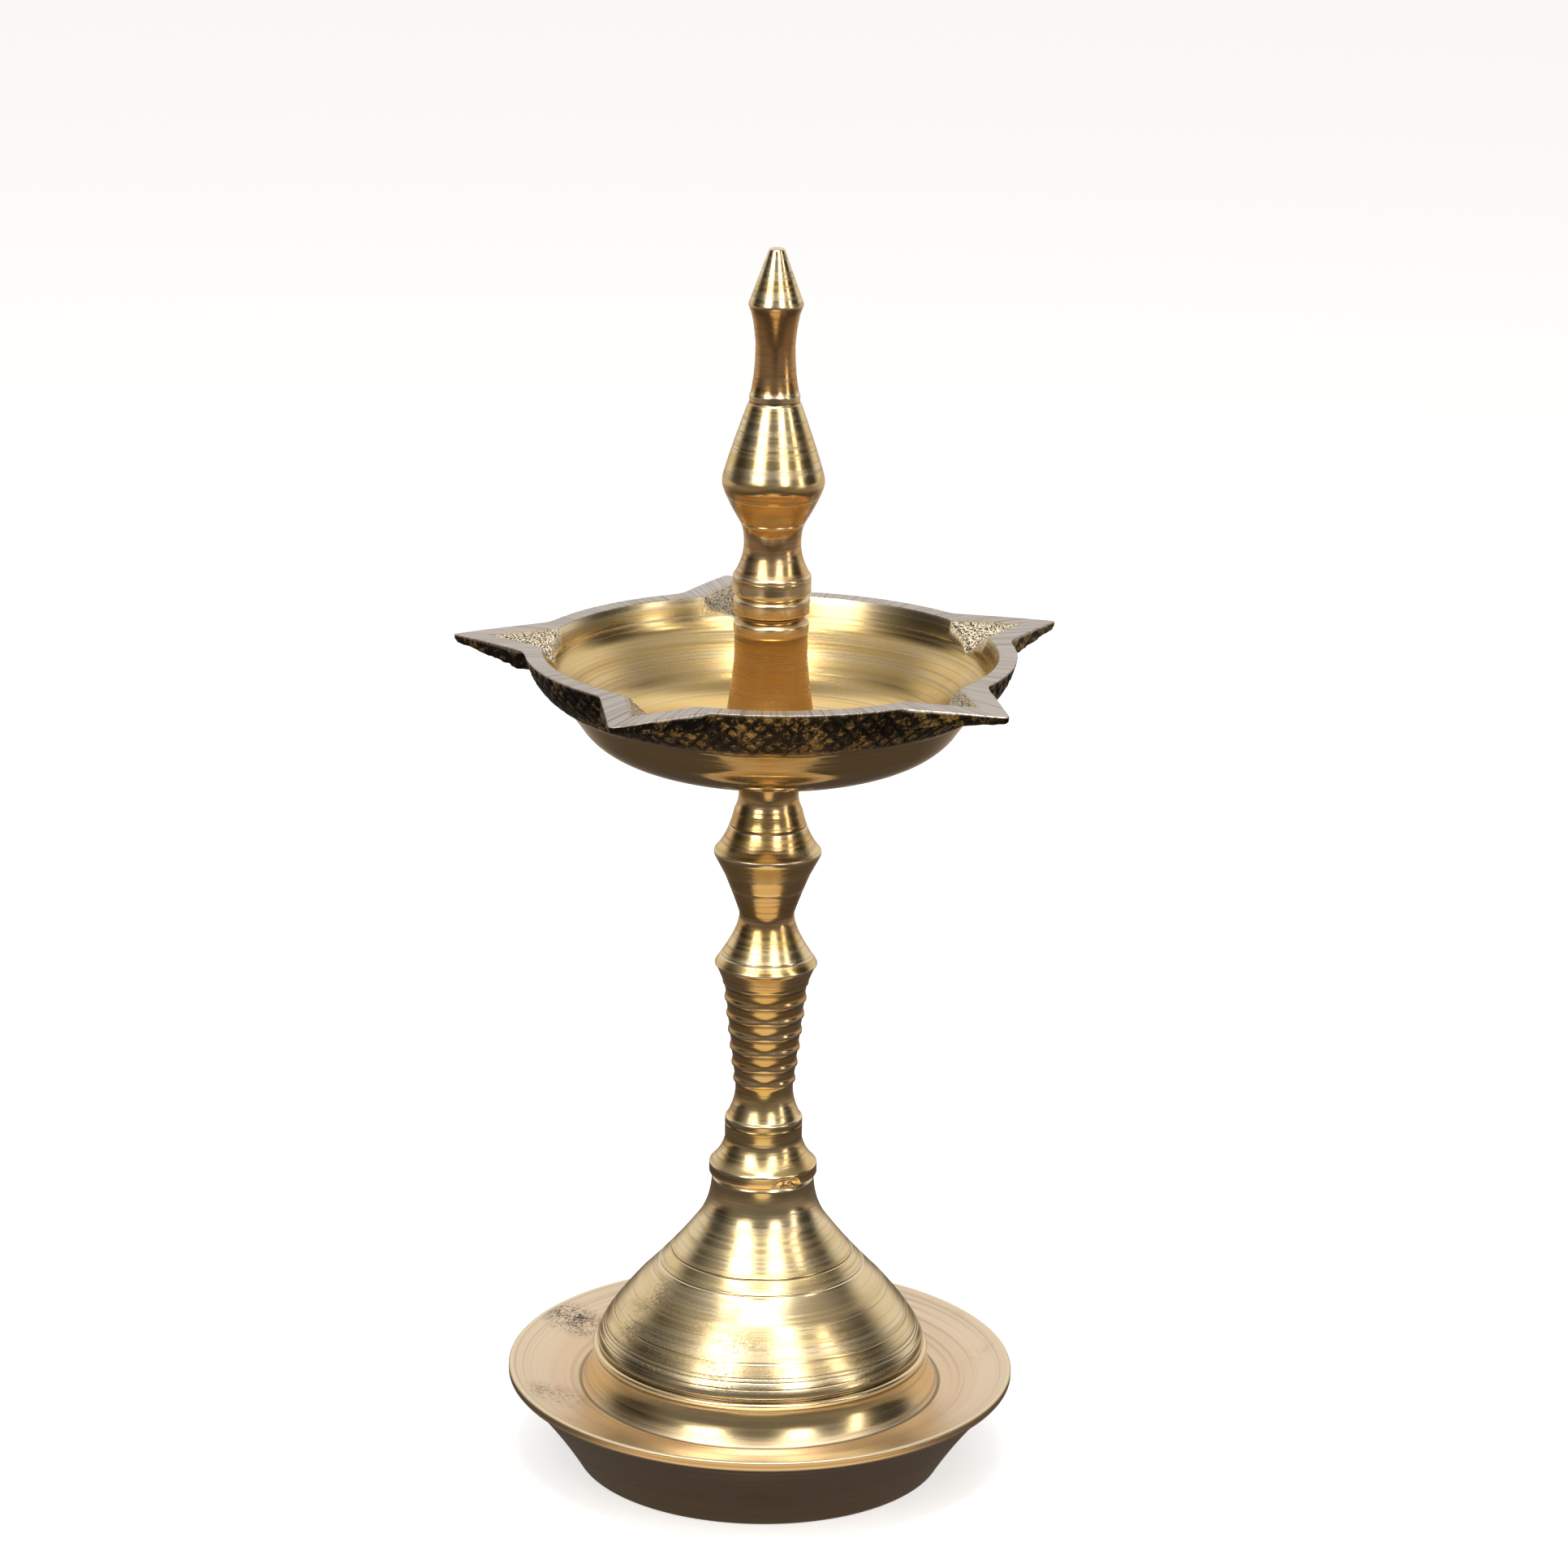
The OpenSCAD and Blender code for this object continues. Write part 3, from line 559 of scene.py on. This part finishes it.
finialValues = {
    "segments": 144, "wobble": 0.003, "seed": 21, "edgeRadius": 0.3, "rowStep": 0.5, "cutWidth": 0.18,
    "path": trace(
        (0, 193.9), (3.05, 193.9), (3.05, 184.3), (7.15, 184.3), (7.85, 185.0), (7.85, 188.5), (7.5, 188.9),
        ((5.9, 191.5), (5.7, 194.7)), ((5.7, 197.7), (6.5, 199.3)), ((9.3, 203.9), (10.1, 206.6)),
        ((10.4, 207.8), (9.9, 209.4)), ((8.8, 213.4), (5.3, 223.2)), (5.0, 223.5), (5.05, 225.0),
        (4.8, 225.4), ((3.95, 229.4), (3.95, 235.1)), ((4.25, 238.8), (4.85, 241.2)), (5.45, 242.8),
        (5.4, 243.2), (1.75, 253.2), ((1.6, 254.0), (0.9, 254.0)), (0, 254.0)),
    "cuts": [(6.5, 199.3, 0.16), (9.6, 204.6, 0.06), (7.8, 187.9, 0.05)],
    "tooling": [(209, 222, 4, 0.7), (226, 236, 3, 0.5), (243, 254, 1, 0.3)],
    "warm": [(189, 207, 5, 0.5), (226, 243, 3, 0.8)],
    "look": {"roughness": 0.20, "satinRoughness": 0.2, "stretch": 0.55, "gold": (0.3, 0.9),
             "lineShade": 0.5, "underside": 0.2, "wear": 0.2, "grime": 0.5, "pitting": 0.3,
             "cloudScale": 150.0, "lineDepth": 0.010},
}


def makeFinial():
    piece = outlineMesh("lampFinial", finialValues)
    return turnedOnLathe(piece, finialValues, "polishedFinial")


bowlValues = {
    "spouts": 5, "spoutTurn": 26.5, "rimZ": 172.9, "rimRadius": 49.3, "innerRadius": 45.7,
    "tipRadius": 65.0, "apexRadius": 65.7, "halfAngle": 34.0, "rootSoft": 1.1, "tipSoft": 0.3,
    "rootAt": 48.7, "rootThick": 4.4, "tipThick": 1.5, "tipDroop": 0.45,
    "grooveDepth": 4.8, "grooveEnd": 57.6, "grooveStart": 45.7, "grooveSlope": 0.64,
    "hatchPitch": 3.6, "hatchDepth": 0.42, "castRough": 0.14, "ragged": 0.16, "rootShare": 0.65,
    "nearTip": (0, 0.3, 0.65, 1.05), "columnsPerHalf": 55,
    "under": trace((3.05, 158.6), (3.05, 149.0), (7.2, 149.0), (13.0, 149.5), ((33.0, 149.8), (38.4, 158.6)),
                   (41.0, 162.2), (42.9, 163.3), fill=1.5),
    "bandLean": (47.9, 166.2), "bandTop": (49.3, 172.6), "bandRows": 12, "sideRows": 14, "landRows": 22,
    "well": trace((45.6, 172.6), (44.6, 168.8), ((44.1, 166.9), (42.9, 165.85)), (36.1, 159.9),
                  ((31.65, 152.5), (12.0, 152.2)), (11.0, 152.2), ((8.35, 158.2), (7.35, 171.9)),
                  (7.35, 176.6), (7.55, 177.0), (7.55, 178.8), (6.6, 179.7), (6.6, 180.4), (7.65, 180.9),
                  (7.7, 183.6), (7.0, 184.3), (3.05, 184.3), (3.05, 174.7), fill=1.5),
    "underEdge": 0.3, "wellEdge": 0.25, "hatchLean": 1.1, "hatchWidth": 0.34, "hatchSoft": 0.2,
    "eavesShare": 0.6, "lipRise": 0.93, "sandRelief": 0.14, "landEdge": 0.1,
    "postRadius": 11, "postFrom": 155, "wellTooling": 1.2, "postSatin": 0.2, "postWarm": 0.75,
    "look": {"roughness": 0.22, "satinRoughness": 0.1, "stretch": 0.65, "gold": (0.65, 0.95),
             "lineShade": 0.35, "underside": 0.5, "wear": 0.12, "grime": 0.4, "pitting": 0.2,
             "cloudScale": 80.0, "lineDepth": 0.010, "castSkin": True},
    "belly": {"castSkin": False, "roughness": 0.12, "stretch": 0.1, "gold": (0.6, 1.0), "lineShade": 0.25,
              "underside": 0.35, "lineDepth": 0.003, "wear": 0.05},
}


def spoutReach(v, off):
    # plan radius at an angle off the spout's axis: straight sides that run softly into the round rim
    half = math.radians(v["halfAngle"])
    side = v["apexRadius"] * math.sin(half) / np.sin(np.abs(off) + half)
    tip = (side + v["tipRadius"] - np.sqrt((side - v["tipRadius"]) ** 2 + v["tipSoft"] ** 2)) / 2
    return (tip + v["rimRadius"] + np.sqrt((tip - v["rimRadius"]) ** 2 + v["rootSoft"] ** 2)) / 2


def bowlColumns(v):
    # angles around the bowl, closer together at each spout's tip, and each one's angle off its spout
    half = np.concatenate([v["nearTip"], np.linspace(1.5, 180 / v["spouts"], v["columnsPerHalf"])])
    sector = np.concatenate([-half[:0:-1], half[:-1]])
    off = np.tile(np.radians(sector), v["spouts"])
    turn = np.repeat(np.arange(v["spouts"]) * 360 / v["spouts"] + v["spoutTurn"], len(sector))
    return off, off + np.radians(turn)


def grooveDip(v, radius, off):
    along, aside = radius * np.cos(off), radius * np.abs(np.sin(off))
    fall = v["grooveDepth"] * (v["grooveEnd"] - along) / (v["grooveEnd"] - v["grooveStart"])
    return np.maximum(0, fall - v["grooveSlope"] * aside)


def hatchMarks(v, arc, height):
    # crossed grooves of the moulding sand, 1 in a groove and 0 on a diamond
    marks = 0
    for way in (1, -1):
        share = ((arc + way * v["hatchLean"] * height) / v["hatchPitch"]) % 1
        depth = (v["hatchWidth"] - np.abs(2 * share - 1)) / v["hatchSoft"]
        marks = np.maximum(marks, np.clip(depth, 0, 1))
    return marks


def bowlRows(v, off, around):
    # radius and height of every grid point, bottom to top, with the three skins and the hatching
    reach = spoutReach(v, off)
    one = np.ones(len(off))
    radii, heights, skins, hatches = [], [], [], []

    def addRow(r, z, cast=0.0, filed=0.0, sand=0.0, hatch=0.0):
        radii.append(r * one)
        heights.append(z * one)
        skins.append(np.stack([cast * one, filed * one, sand * one], 1))
        hatches.append(hatch * one)

    for r, z in softened(v["under"], v["underEdge"]):
        addRow(r, z)
    low = np.array(v["under"][-1])
    lean, top = np.array(v["bandLean"]), np.array(v["bandTop"])

    def onBand(t):
        return (1 - t) ** 2 * low + 2 * t * (1 - t) * lean + t * t * top

    root = onBand(v["rootShare"])
    droop = v["tipDroop"] * np.clip((reach - v["rimRadius"]) / (v["tipRadius"] - v["rimRadius"]), 0, 1) ** 2
    thinning = (v["tipThick"] - v["rootThick"]) / (v["tipRadius"] - v["rootAt"])
    thick = v["rootThick"] + thinning * (reach - v["rootAt"])
    out = np.clip((reach - v["rimRadius"] - 0.1) / 1.5, 0, 1)
    out = out * out * (3 - 2 * out)
    fuzz = np.array([grain.noise(Vector((math.cos(a) * 40, math.sin(a) * 40, 0))) for a in around])
    edge = reach - v["ragged"] * np.abs(fuzz) * 1.6
    total = v["bandRows"] + v["sideRows"]
    for k in range(1, total):
        if k <= v["bandRows"]:
            r, z = onBand(v["rootShare"] * k / v["bandRows"])
            r, z, under = r * one, z * one, 0 * one
        else:
            share = (k - v["bandRows"]) / v["sideRows"]
            plain = onBand(v["rootShare"] + (1 - v["rootShare"]) * share)
            outward = min(1, share / v["eavesShare"])
            upward = max(0, (share - v["eavesShare"]) / (1 - v["eavesShare"]))
            eaves = v["rimZ"] - thick - droop
            r = (1 - out) * plain[0] + out * (root[0] + (edge - root[0]) * outward)
            lip = root[1] + (eaves - root[1]) * outward + thick * upward * v["lipRise"]
            z = (1 - out) * plain[1] + out * lip
            under = out * (1 if share < v["eavesShare"] else 0)
        rough = np.array([grain.noise(Vector((math.cos(a) * q, math.sin(a) * q, h)) * 0.9)
                          for a, q, h in zip(around, r, z)])
        patchy = np.clip(0.75 + 1.1 * np.roll(fuzz, 40), 0.2, 1)
        mark = hatchMarks(v, around * v["rimRadius"], z) * patchy * min(1, k / 3)
        sunk = v["hatchDepth"] * mark + v["castRough"] * (rough + 0.4) * min(1, k / 3)
        sunk = sunk * (1 - 0.85 * max(0, (k - total + 4) / 4))
        addRow(r - sunk * (1 - under), z + sunk * under, cast=1.0, hatch=mark)
    for k in range(v["landRows"] + 1):
        share = k / v["landRows"]
        r = edge + (v["innerRadius"] - edge) * share
        dip = grooveDip(v, r, off)
        coarse = np.array([grain.noise(Vector((math.cos(a) * q, math.sin(a) * q, 3)) * 1.6)
                           for a, q in zip(around, r)])
        sand = np.clip((dip - 0.05) / 0.35, 0, 1)
        rounding = v["landEdge"] if k in (0, v["landRows"]) else 0
        z = v["rimZ"] - rounding - dip - v["sandRelief"] * np.abs(coarse) * sand
        addRow(r, z - droop * (1 - share) ** 2, filed=1 - sand, sand=sand, cast=(0.5 if k == 0 else 0))
    for r, z in softened(v["well"], v["wellEdge"]):
        groove = v["rimZ"] - grooveDip(v, r * one, off) if r > 30 else 999 * one
        cut = np.clip((z - groove) / 0.3, 0, 1)
        addRow(r, np.minimum(z, groove), sand=cut)
    return np.array(radii), np.array(heights), np.array(skins), np.array(hatches)


def gridSolid(name, radii, heights, around, bottom, top):
    # closed mesh of rings between two poles on the axis
    rows, columns = radii.shape
    x, y = radii * np.cos(around), radii * np.sin(around)
    rings = np.stack([x, y, heights], 2).reshape(-1, 3)
    points = np.concatenate([rings, [(0, 0, bottom), (0, 0, top)]]) * mm
    here = np.arange(columns)
    after = (here + 1) % columns
    faces = []
    for k in range(rows - 1):
        a, b = k * columns, (k + 1) * columns
        faces += np.stack([a + here, a + after, b + after, b + here], 1).tolist()
    floor, roof = rows * columns, rows * columns + 1
    faces += np.stack([after, here, floor * np.ones(columns, int)], 1).tolist()
    last = (rows - 1) * columns
    faces += np.stack([last + here, last + after, roof * np.ones(columns, int)], 1).tolist()
    mesh = bpy.data.meshes.new(name)
    mesh.from_pydata(points.tolist(), [], faces)
    mesh.shade_smooth()
    piece = bpy.data.objects.new(name, mesh)
    bpy.context.scene.collection.objects.link(piece)
    return piece


def makeBowl():
    v = bowlValues
    off, around = bowlColumns(v)
    radii, heights, skins, hatches = bowlRows(v, off, around)
    piece = gridSolid("lampBowl", radii, heights, around, v["under"][0][1], v["well"][-1][1])
    plain = np.argmax(np.abs(off))
    spots = np.stack([radii[:, plain], heights[:, plain]], 1)
    columns = len(off)
    turned = np.repeat(profileMarks(spots), columns, axis=0)
    post = (spots[:, 0] < v["postRadius"]) & (spots[:, 1] > v["postFrom"])
    well = (np.arange(len(spots)) > len(spots) - len(softened(v["well"], v["wellEdge"]))) & ~post
    bands = np.stack([v["wellTooling"] * well, v["postSatin"] * post, v["postWarm"] * post], 1)
    finish = np.repeat(bands, columns, axis=0)

    def withPoles(values):
        return np.concatenate([values, values[:1], values[-1:]])

    storeLayer(piece.data, "turned", withPoles(turned))
    storeLayer(piece.data, "finish", withPoles(finish))
    storeLayer(piece.data, "skin", withPoles(skins.reshape(-1, 3)))
    storeLayer(piece.data, "hatch", withPoles(hatches.reshape(-1)), "FLOAT")
    piece.data.materials.append(turnedBrass("castAndTurnedBowl", v["look"]))
    piece.data.materials.append(turnedBrass("polishedBelly", dict(v["look"], **v["belly"])))
    bellyFaces = (len(softened(v["under"], v["underEdge"])) - 1) * columns
    for face in piece.data.polygons[:bellyFaces]:
        face.material_index = 1
    return piece


steelTones = {"clean": (0.56, 0.55, 0.53, 1), "oiled": (0.24, 0.19, 0.14, 1)}


def boltSteel():
    finish = bpy.data.materials.new("boltSteel")
    finish.use_nodes = True
    tree = finish.node_tree
    shader = tree.nodes["Principled BSDF"]
    shader.inputs["Metallic"].default_value = 1.0
    place = tree.nodes.new("ShaderNodeTexCoord").outputs["Object"]
    oily = cloudy(tree, place, 420.0, 3.0, 0.6)
    film = between(tree, oily, 0.45, 0.65, 0.0, 0.7)
    colour = blendColour(tree, film, steelTones["clean"], steelTones["oiled"])
    feed(tree, shader.inputs["Base Color"], colour)
    feed(tree, shader.inputs["Roughness"], between(tree, oily, 0.35, 0.7, 0.24, 0.42))
    return finish


studValues = {
    "coreRadius": 2.55, "ridge": 0.42, "pitch": 1.25, "length": 17.9,
    "plainPitches": 1.6, "stepsPerTurn": 40, "ridgeSides": 4, "coreSides": 48,
}


def threadTree(v):
    # a steel core with a helical V ridge around it
    tree = bpy.data.node_groups.new("threadedStud", "GeometryNodeTree")
    face = tree.interface
    for label, kind in (("Blank", "Geometry"), ("Core Radius", "Float"), ("Ridge", "Float"),
                        ("Pitch", "Float"), ("Length", "Float"), ("Centre Height", "Float"),
                        ("Finish", "Material")):
        face.new_socket(label, in_out="INPUT", socket_type="NodeSocket" + kind)
    face.new_socket("Stud", in_out="OUTPUT", socket_type="NodeSocketGeometry")
    given = tree.nodes.new("NodeGroupInput").outputs
    plain = calc(tree, "MULTIPLY", given["Pitch"], v["plainPitches"])
    threaded = calc(tree, "SUBTRACT", given["Length"], plain)
    helix = tree.nodes.new("GeometryNodeCurveSpiral")
    for key, value in (("Resolution", v["stepsPerTurn"]),
                       ("Rotations", calc(tree, "DIVIDE", threaded, given["Pitch"])),
                       ("Start Radius", given["Core Radius"]), ("End Radius", given["Core Radius"]),
                       ("Height", threaded)):
        feed(tree, helix.inputs[key], value)
    upright = tree.nodes.new("GeometryNodeSetCurveNormal")
    feed(tree, upright.inputs["Curve"], helix.outputs[0])
    upright.mode = "Z_UP"
    ridge = tree.nodes.new("GeometryNodeCurvePrimitiveCircle")
    feed(tree, ridge.inputs["Resolution"], v["ridgeSides"])
    feed(tree, ridge.inputs["Radius"], given["Ridge"])
    thread = tree.nodes.new("GeometryNodeCurveToMesh")
    feed(tree, thread.inputs["Curve"], upright.outputs[0])
    feed(tree, thread.inputs["Profile Curve"], ridge.outputs[0])
    feed(tree, thread.inputs["Fill Caps"], True)
    core = tree.nodes.new("GeometryNodeMeshCylinder")
    feed(tree, core.inputs["Vertices"], v["coreSides"])
    feed(tree, core.inputs["Radius"], given["Core Radius"])
    feed(tree, core.inputs["Depth"], given["Length"])
    half = calc(tree, "MULTIPLY", threaded, -0.5)
    parts = tree.nodes.new("GeometryNodeJoinGeometry")
    threadRise = calc(tree, "ADD", given["Centre Height"], half)
    for source, rise in ((thread, threadRise), (core, given["Centre Height"])):
        moved = tree.nodes.new("GeometryNodeTransform")
        feed(tree, moved.inputs["Geometry"], source.outputs[0])
        feed(tree, moved.inputs["Translation"], joinXyz(tree, 0.0, 0.0, rise))
        feed(tree, parts.inputs[0], moved.outputs[0])
    real = tree.nodes.new("GeometryNodeRealizeInstances")
    feed(tree, real.inputs[0], parts.outputs[0])
    coat = tree.nodes.new("GeometryNodeSetMaterial")
    feed(tree, coat.inputs["Geometry"], real.outputs[0])
    feed(tree, coat.inputs["Material"], given["Finish"])
    feed(tree, tree.nodes.new("NodeGroupOutput").inputs[0], coat.outputs[0])
    return tree


def makeStud(node, tree, steel):
    low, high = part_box(node)
    blank = bpy.data.objects.new(node + "Thread", bpy.data.meshes.new(node + "Thread"))
    bpy.context.scene.collection.objects.link(blank)
    v = studValues
    return grown(blank, tree, **{"Core Radius": v["coreRadius"] * mm, "Ridge": v["ridge"] * mm,
                                 "Pitch": v["pitch"] * mm, "Length": v["length"] * mm,
                                 "Centre Height": (low[2] + high[2]) / 2, "Finish": steel})


print("making the turned pieces")
base = makeBase()
stem = makeStem()
finial = makeFinial()
bowl = makeBowl()
thread = threadTree(studValues)
steel = boltSteel()
for node in ("lower_stud", "middle_stud", "top_stud"):
    stud = makeStud(node, thread, steel)
    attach(stud, node + "_body")
    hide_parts(node)
print("studs on their bodies")
for piece, node, body, slot in ((base, "base", "base_body", "base_brass"),
                                (stem, "stem", "stem_body", "stem_brass"),
                                (bowl, "bowl", "bowl_body", "bowl_brass"),
                                (finial, "finial", "finial_body", "finial_brass")):
    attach(piece, body)
    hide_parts(node)
print("turned pieces on their bodies")

floorValues = {
    "paper": (0.82, 0.82, 0.82, 1), "glow": 0.55,
    # glossy rays see these on the floor: painted shade in under, beside and behind, and a painted lit strip
    "under": (0.10, 0.084, 0.076, 1), "beside": (0.24, 0.20, 0.175, 1),
    "behind": (0.60, 0.52, 0.43, 1), "paintedLitStrip": (0.95, 0.78, 0.5, 1),
    # where each painted shade and the painted lit strip fade in, in metres across (side) or along (near, far)
    # the floor
    "besideSpan": (0.28, 0.6), "behindSpan": (0.1, 0.6),
    "litSide": (0.085, 0.07), "litNear": (-0.045, -0.055), "litFar": (-0.55, -0.42),
    "reach": 8.0, "drop": 0.0001,
}
surroundValues = {
    "behind": 0.8, "above": 0.38, "ahead": 0.13, "everywhere": 0.03, "colour": (1.0, 0.97, 0.93, 1),
    "behindSpan": (0.25, 0.6), "aboveSpan": (0.45, 0.9), "aheadSpan": (-0.1, -0.5),
}
lampAim = Vector((0, 0, 0.13))
# name, turn, rise, distance, width, height, power, colour
studioLamps = (
    ("leftBox", -36, 36, 1.0, 0.42, 0.8, 3.9, (1, 0.98, 0.95)),
    ("rightBox", 27, 36, 1.0, 0.26, 0.8, 2.7, (1, 0.98, 0.95)),
    ("overhead", 0, 70, 1.0, 0.42, 0.26, 3.4, (1, 0.99, 0.97)),
    ("sideStrip", 66, 22, 1.0, 0.10, 0.8, 1.1, (1, 0.94, 0.84)),
)


def floorFinish(v):
    # pale paper to the camera; glossy rays see a painted reflection instead: the floor glows in painted
    # shade, dark by default, mid at the sides, lighter behind, with a painted lit strip in front
    finish = bpy.data.materials.new("paleFloorPaintedReflection")
    finish.use_nodes = True
    tree = finish.node_tree
    tree.nodes.clear()
    rays = tree.nodes.new("ShaderNodeLightPath")
    paper = tree.nodes.new("ShaderNodeBsdfDiffuse")
    paper.inputs["Color"].default_value = v["paper"]
    bright = tree.nodes.new("ShaderNodeEmission")
    bright.inputs["Color"].default_value = (1, 1, 1, 1)
    bright.inputs["Strength"].default_value = v["glow"]
    both = tree.nodes.new("ShaderNodeAddShader")
    feed(tree, both.inputs[0], paper.outputs[0])
    feed(tree, both.inputs[1], bright.outputs[0])
    spot = splitXyz(tree, tree.nodes.new("ShaderNodeTexCoord").outputs["Object"])
    aside = calc(tree, "ABSOLUTE", spot[0])
    beside = between(tree, aside, *v["besideSpan"])
    behind = between(tree, spot[1], *v["behindSpan"])
    # painted light: a lit strip on the floor in front of the lamp, seen only in reflections
    paintedLitStrip = calc(tree, "MULTIPLY", between(tree, aside, *v["litSide"]), between(tree, spot[1], *v["litNear"]))
    paintedLitStrip = calc(tree, "MULTIPLY", paintedLitStrip, between(tree, spot[1], *v["litFar"]))
    # painted shade for the floor's reflection: dark by default, mid at the sides, lighter behind, then the
    # painted lit strip
    paintedFloorShade = blendColour(tree, beside, v["under"], v["beside"])
    paintedFloorShade = blendColour(tree, behind, paintedFloorShade, v["behind"])
    paintedFloorShade = blendColour(tree, paintedLitStrip, paintedFloorShade, v["paintedLitStrip"])
    # painted reflection: the floor glows in this pattern for glossy rays only
    paintedReflection = tree.nodes.new("ShaderNodeEmission")
    feed(tree, paintedReflection.inputs["Color"], paintedFloorShade)
    paintedReflection.inputs["Strength"].default_value = 1.0
    pick = tree.nodes.new("ShaderNodeMixShader")
    feed(tree, pick.inputs[0], rays.outputs["Is Glossy Ray"])
    feed(tree, pick.inputs[1], both.outputs[0])
    feed(tree, pick.inputs[2], paintedReflection.outputs[0])
    feed(tree, tree.nodes.new("ShaderNodeOutputMaterial").inputs["Surface"], pick.outputs[0])
    return finish


def makeFloor(v):
    mesh = bpy.data.meshes.new("floor")
    reach = v["reach"]
    mesh.from_pydata([(-reach, -reach, 0), (reach, -reach, 0), (reach, reach, 0), (-reach, reach, 0)],
                     [], [(0, 1, 2, 3)])
    mesh.transform(Matrix.Translation((0, 0, -v["drop"])))
    floor = bpy.data.objects.new("floor", mesh)
    bpy.context.scene.collection.objects.link(floor)
    mesh.materials.append(floorFinish(v))


def studioSurround(v):
    world = bpy.data.worlds.new("studioSurround")
    bpy.context.scene.world = world
    world.use_nodes = True
    tree = world.node_tree
    tree.nodes.clear()
    way = splitXyz(tree, tree.nodes.new("ShaderNodeTexCoord").outputs["Generated"])
    behind = between(tree, way[1], *v["behindSpan"])
    above = between(tree, way[2], *v["aboveSpan"])
    ahead = between(tree, way[1], *v["aheadSpan"])
    shine = calc(tree, "ADD", calc(tree, "MULTIPLY", behind, v["behind"]),
                 calc(tree, "MULTIPLY", above, v["above"]))
    shine = calc(tree, "ADD", shine, calc(tree, "MULTIPLY", ahead, v["ahead"]))
    shine = calc(tree, "ADD", shine, v["everywhere"])
    room = tree.nodes.new("ShaderNodeBackground")
    room.inputs["Color"].default_value = v["colour"]
    feed(tree, room.inputs["Strength"], shine)
    white = tree.nodes.new("ShaderNodeBackground")
    white.inputs["Color"].default_value = (1, 1, 1, 1)
    rays = tree.nodes.new("ShaderNodeLightPath")
    pick = tree.nodes.new("ShaderNodeMixShader")
    feed(tree, pick.inputs[0], rays.outputs["Is Camera Ray"])
    feed(tree, pick.inputs[1], room.outputs[0])
    feed(tree, pick.inputs[2], white.outputs[0])
    feed(tree, tree.nodes.new("ShaderNodeOutputWorld").inputs["Surface"], pick.outputs[0])


def softbox(name, turn, rise, distance, width, height, power, colour):
    lamp = bpy.data.lights.new(name, "AREA")
    lamp.shape = "RECTANGLE"
    lamp.size = width
    lamp.size_y = height
    lamp.energy = power
    lamp.color = colour
    box = bpy.data.objects.new(name, lamp)
    bpy.context.scene.collection.objects.link(box)
    a, e = math.radians(turn), math.radians(rise)
    way = Vector((math.sin(a) * math.cos(e), -math.cos(a) * math.cos(e), math.sin(e)))
    box.location = lampAim + way * distance
    box.rotation_euler = way.to_track_quat("Z", "Y").to_euler()


# the focal length is in the same units as the picture's width
cameraValues = {
    "place": (0, -0.9392, 0.4179), "down": 16.20, "roll": 0.94, "yaw": -0.187,
    "focal": 5980, "width": 1932, "sensor": 36.0, "clip": (0.01, 50),
}


def makeCamera(v):
    lens = bpy.data.cameras.new("camera")
    lens.sensor_width = v["sensor"]
    lens.lens = v["focal"] / v["width"] * lens.sensor_width
    lens.clip_start, lens.clip_end = v["clip"]
    camera = bpy.data.objects.new("camera", lens)
    bpy.context.scene.collection.objects.link(camera)
    camera.matrix_world = (Matrix.Translation(v["place"]) @ Matrix.Rotation(math.radians(v["yaw"]), 4, "Z")
                           @ Matrix.Rotation(math.radians(90 - v["down"]), 4, "X")
                           @ Matrix.Rotation(math.radians(v["roll"]), 4, "Z"))
    bpy.context.scene.camera = camera


makeFloor(floorValues)
studioSurround(surroundValues)
for lampValues in studioLamps:
    softbox(*lampValues)
makeCamera(cameraValues)
bpy.context.scene.view_settings.view_transform = "Standard"
print("studio ready")
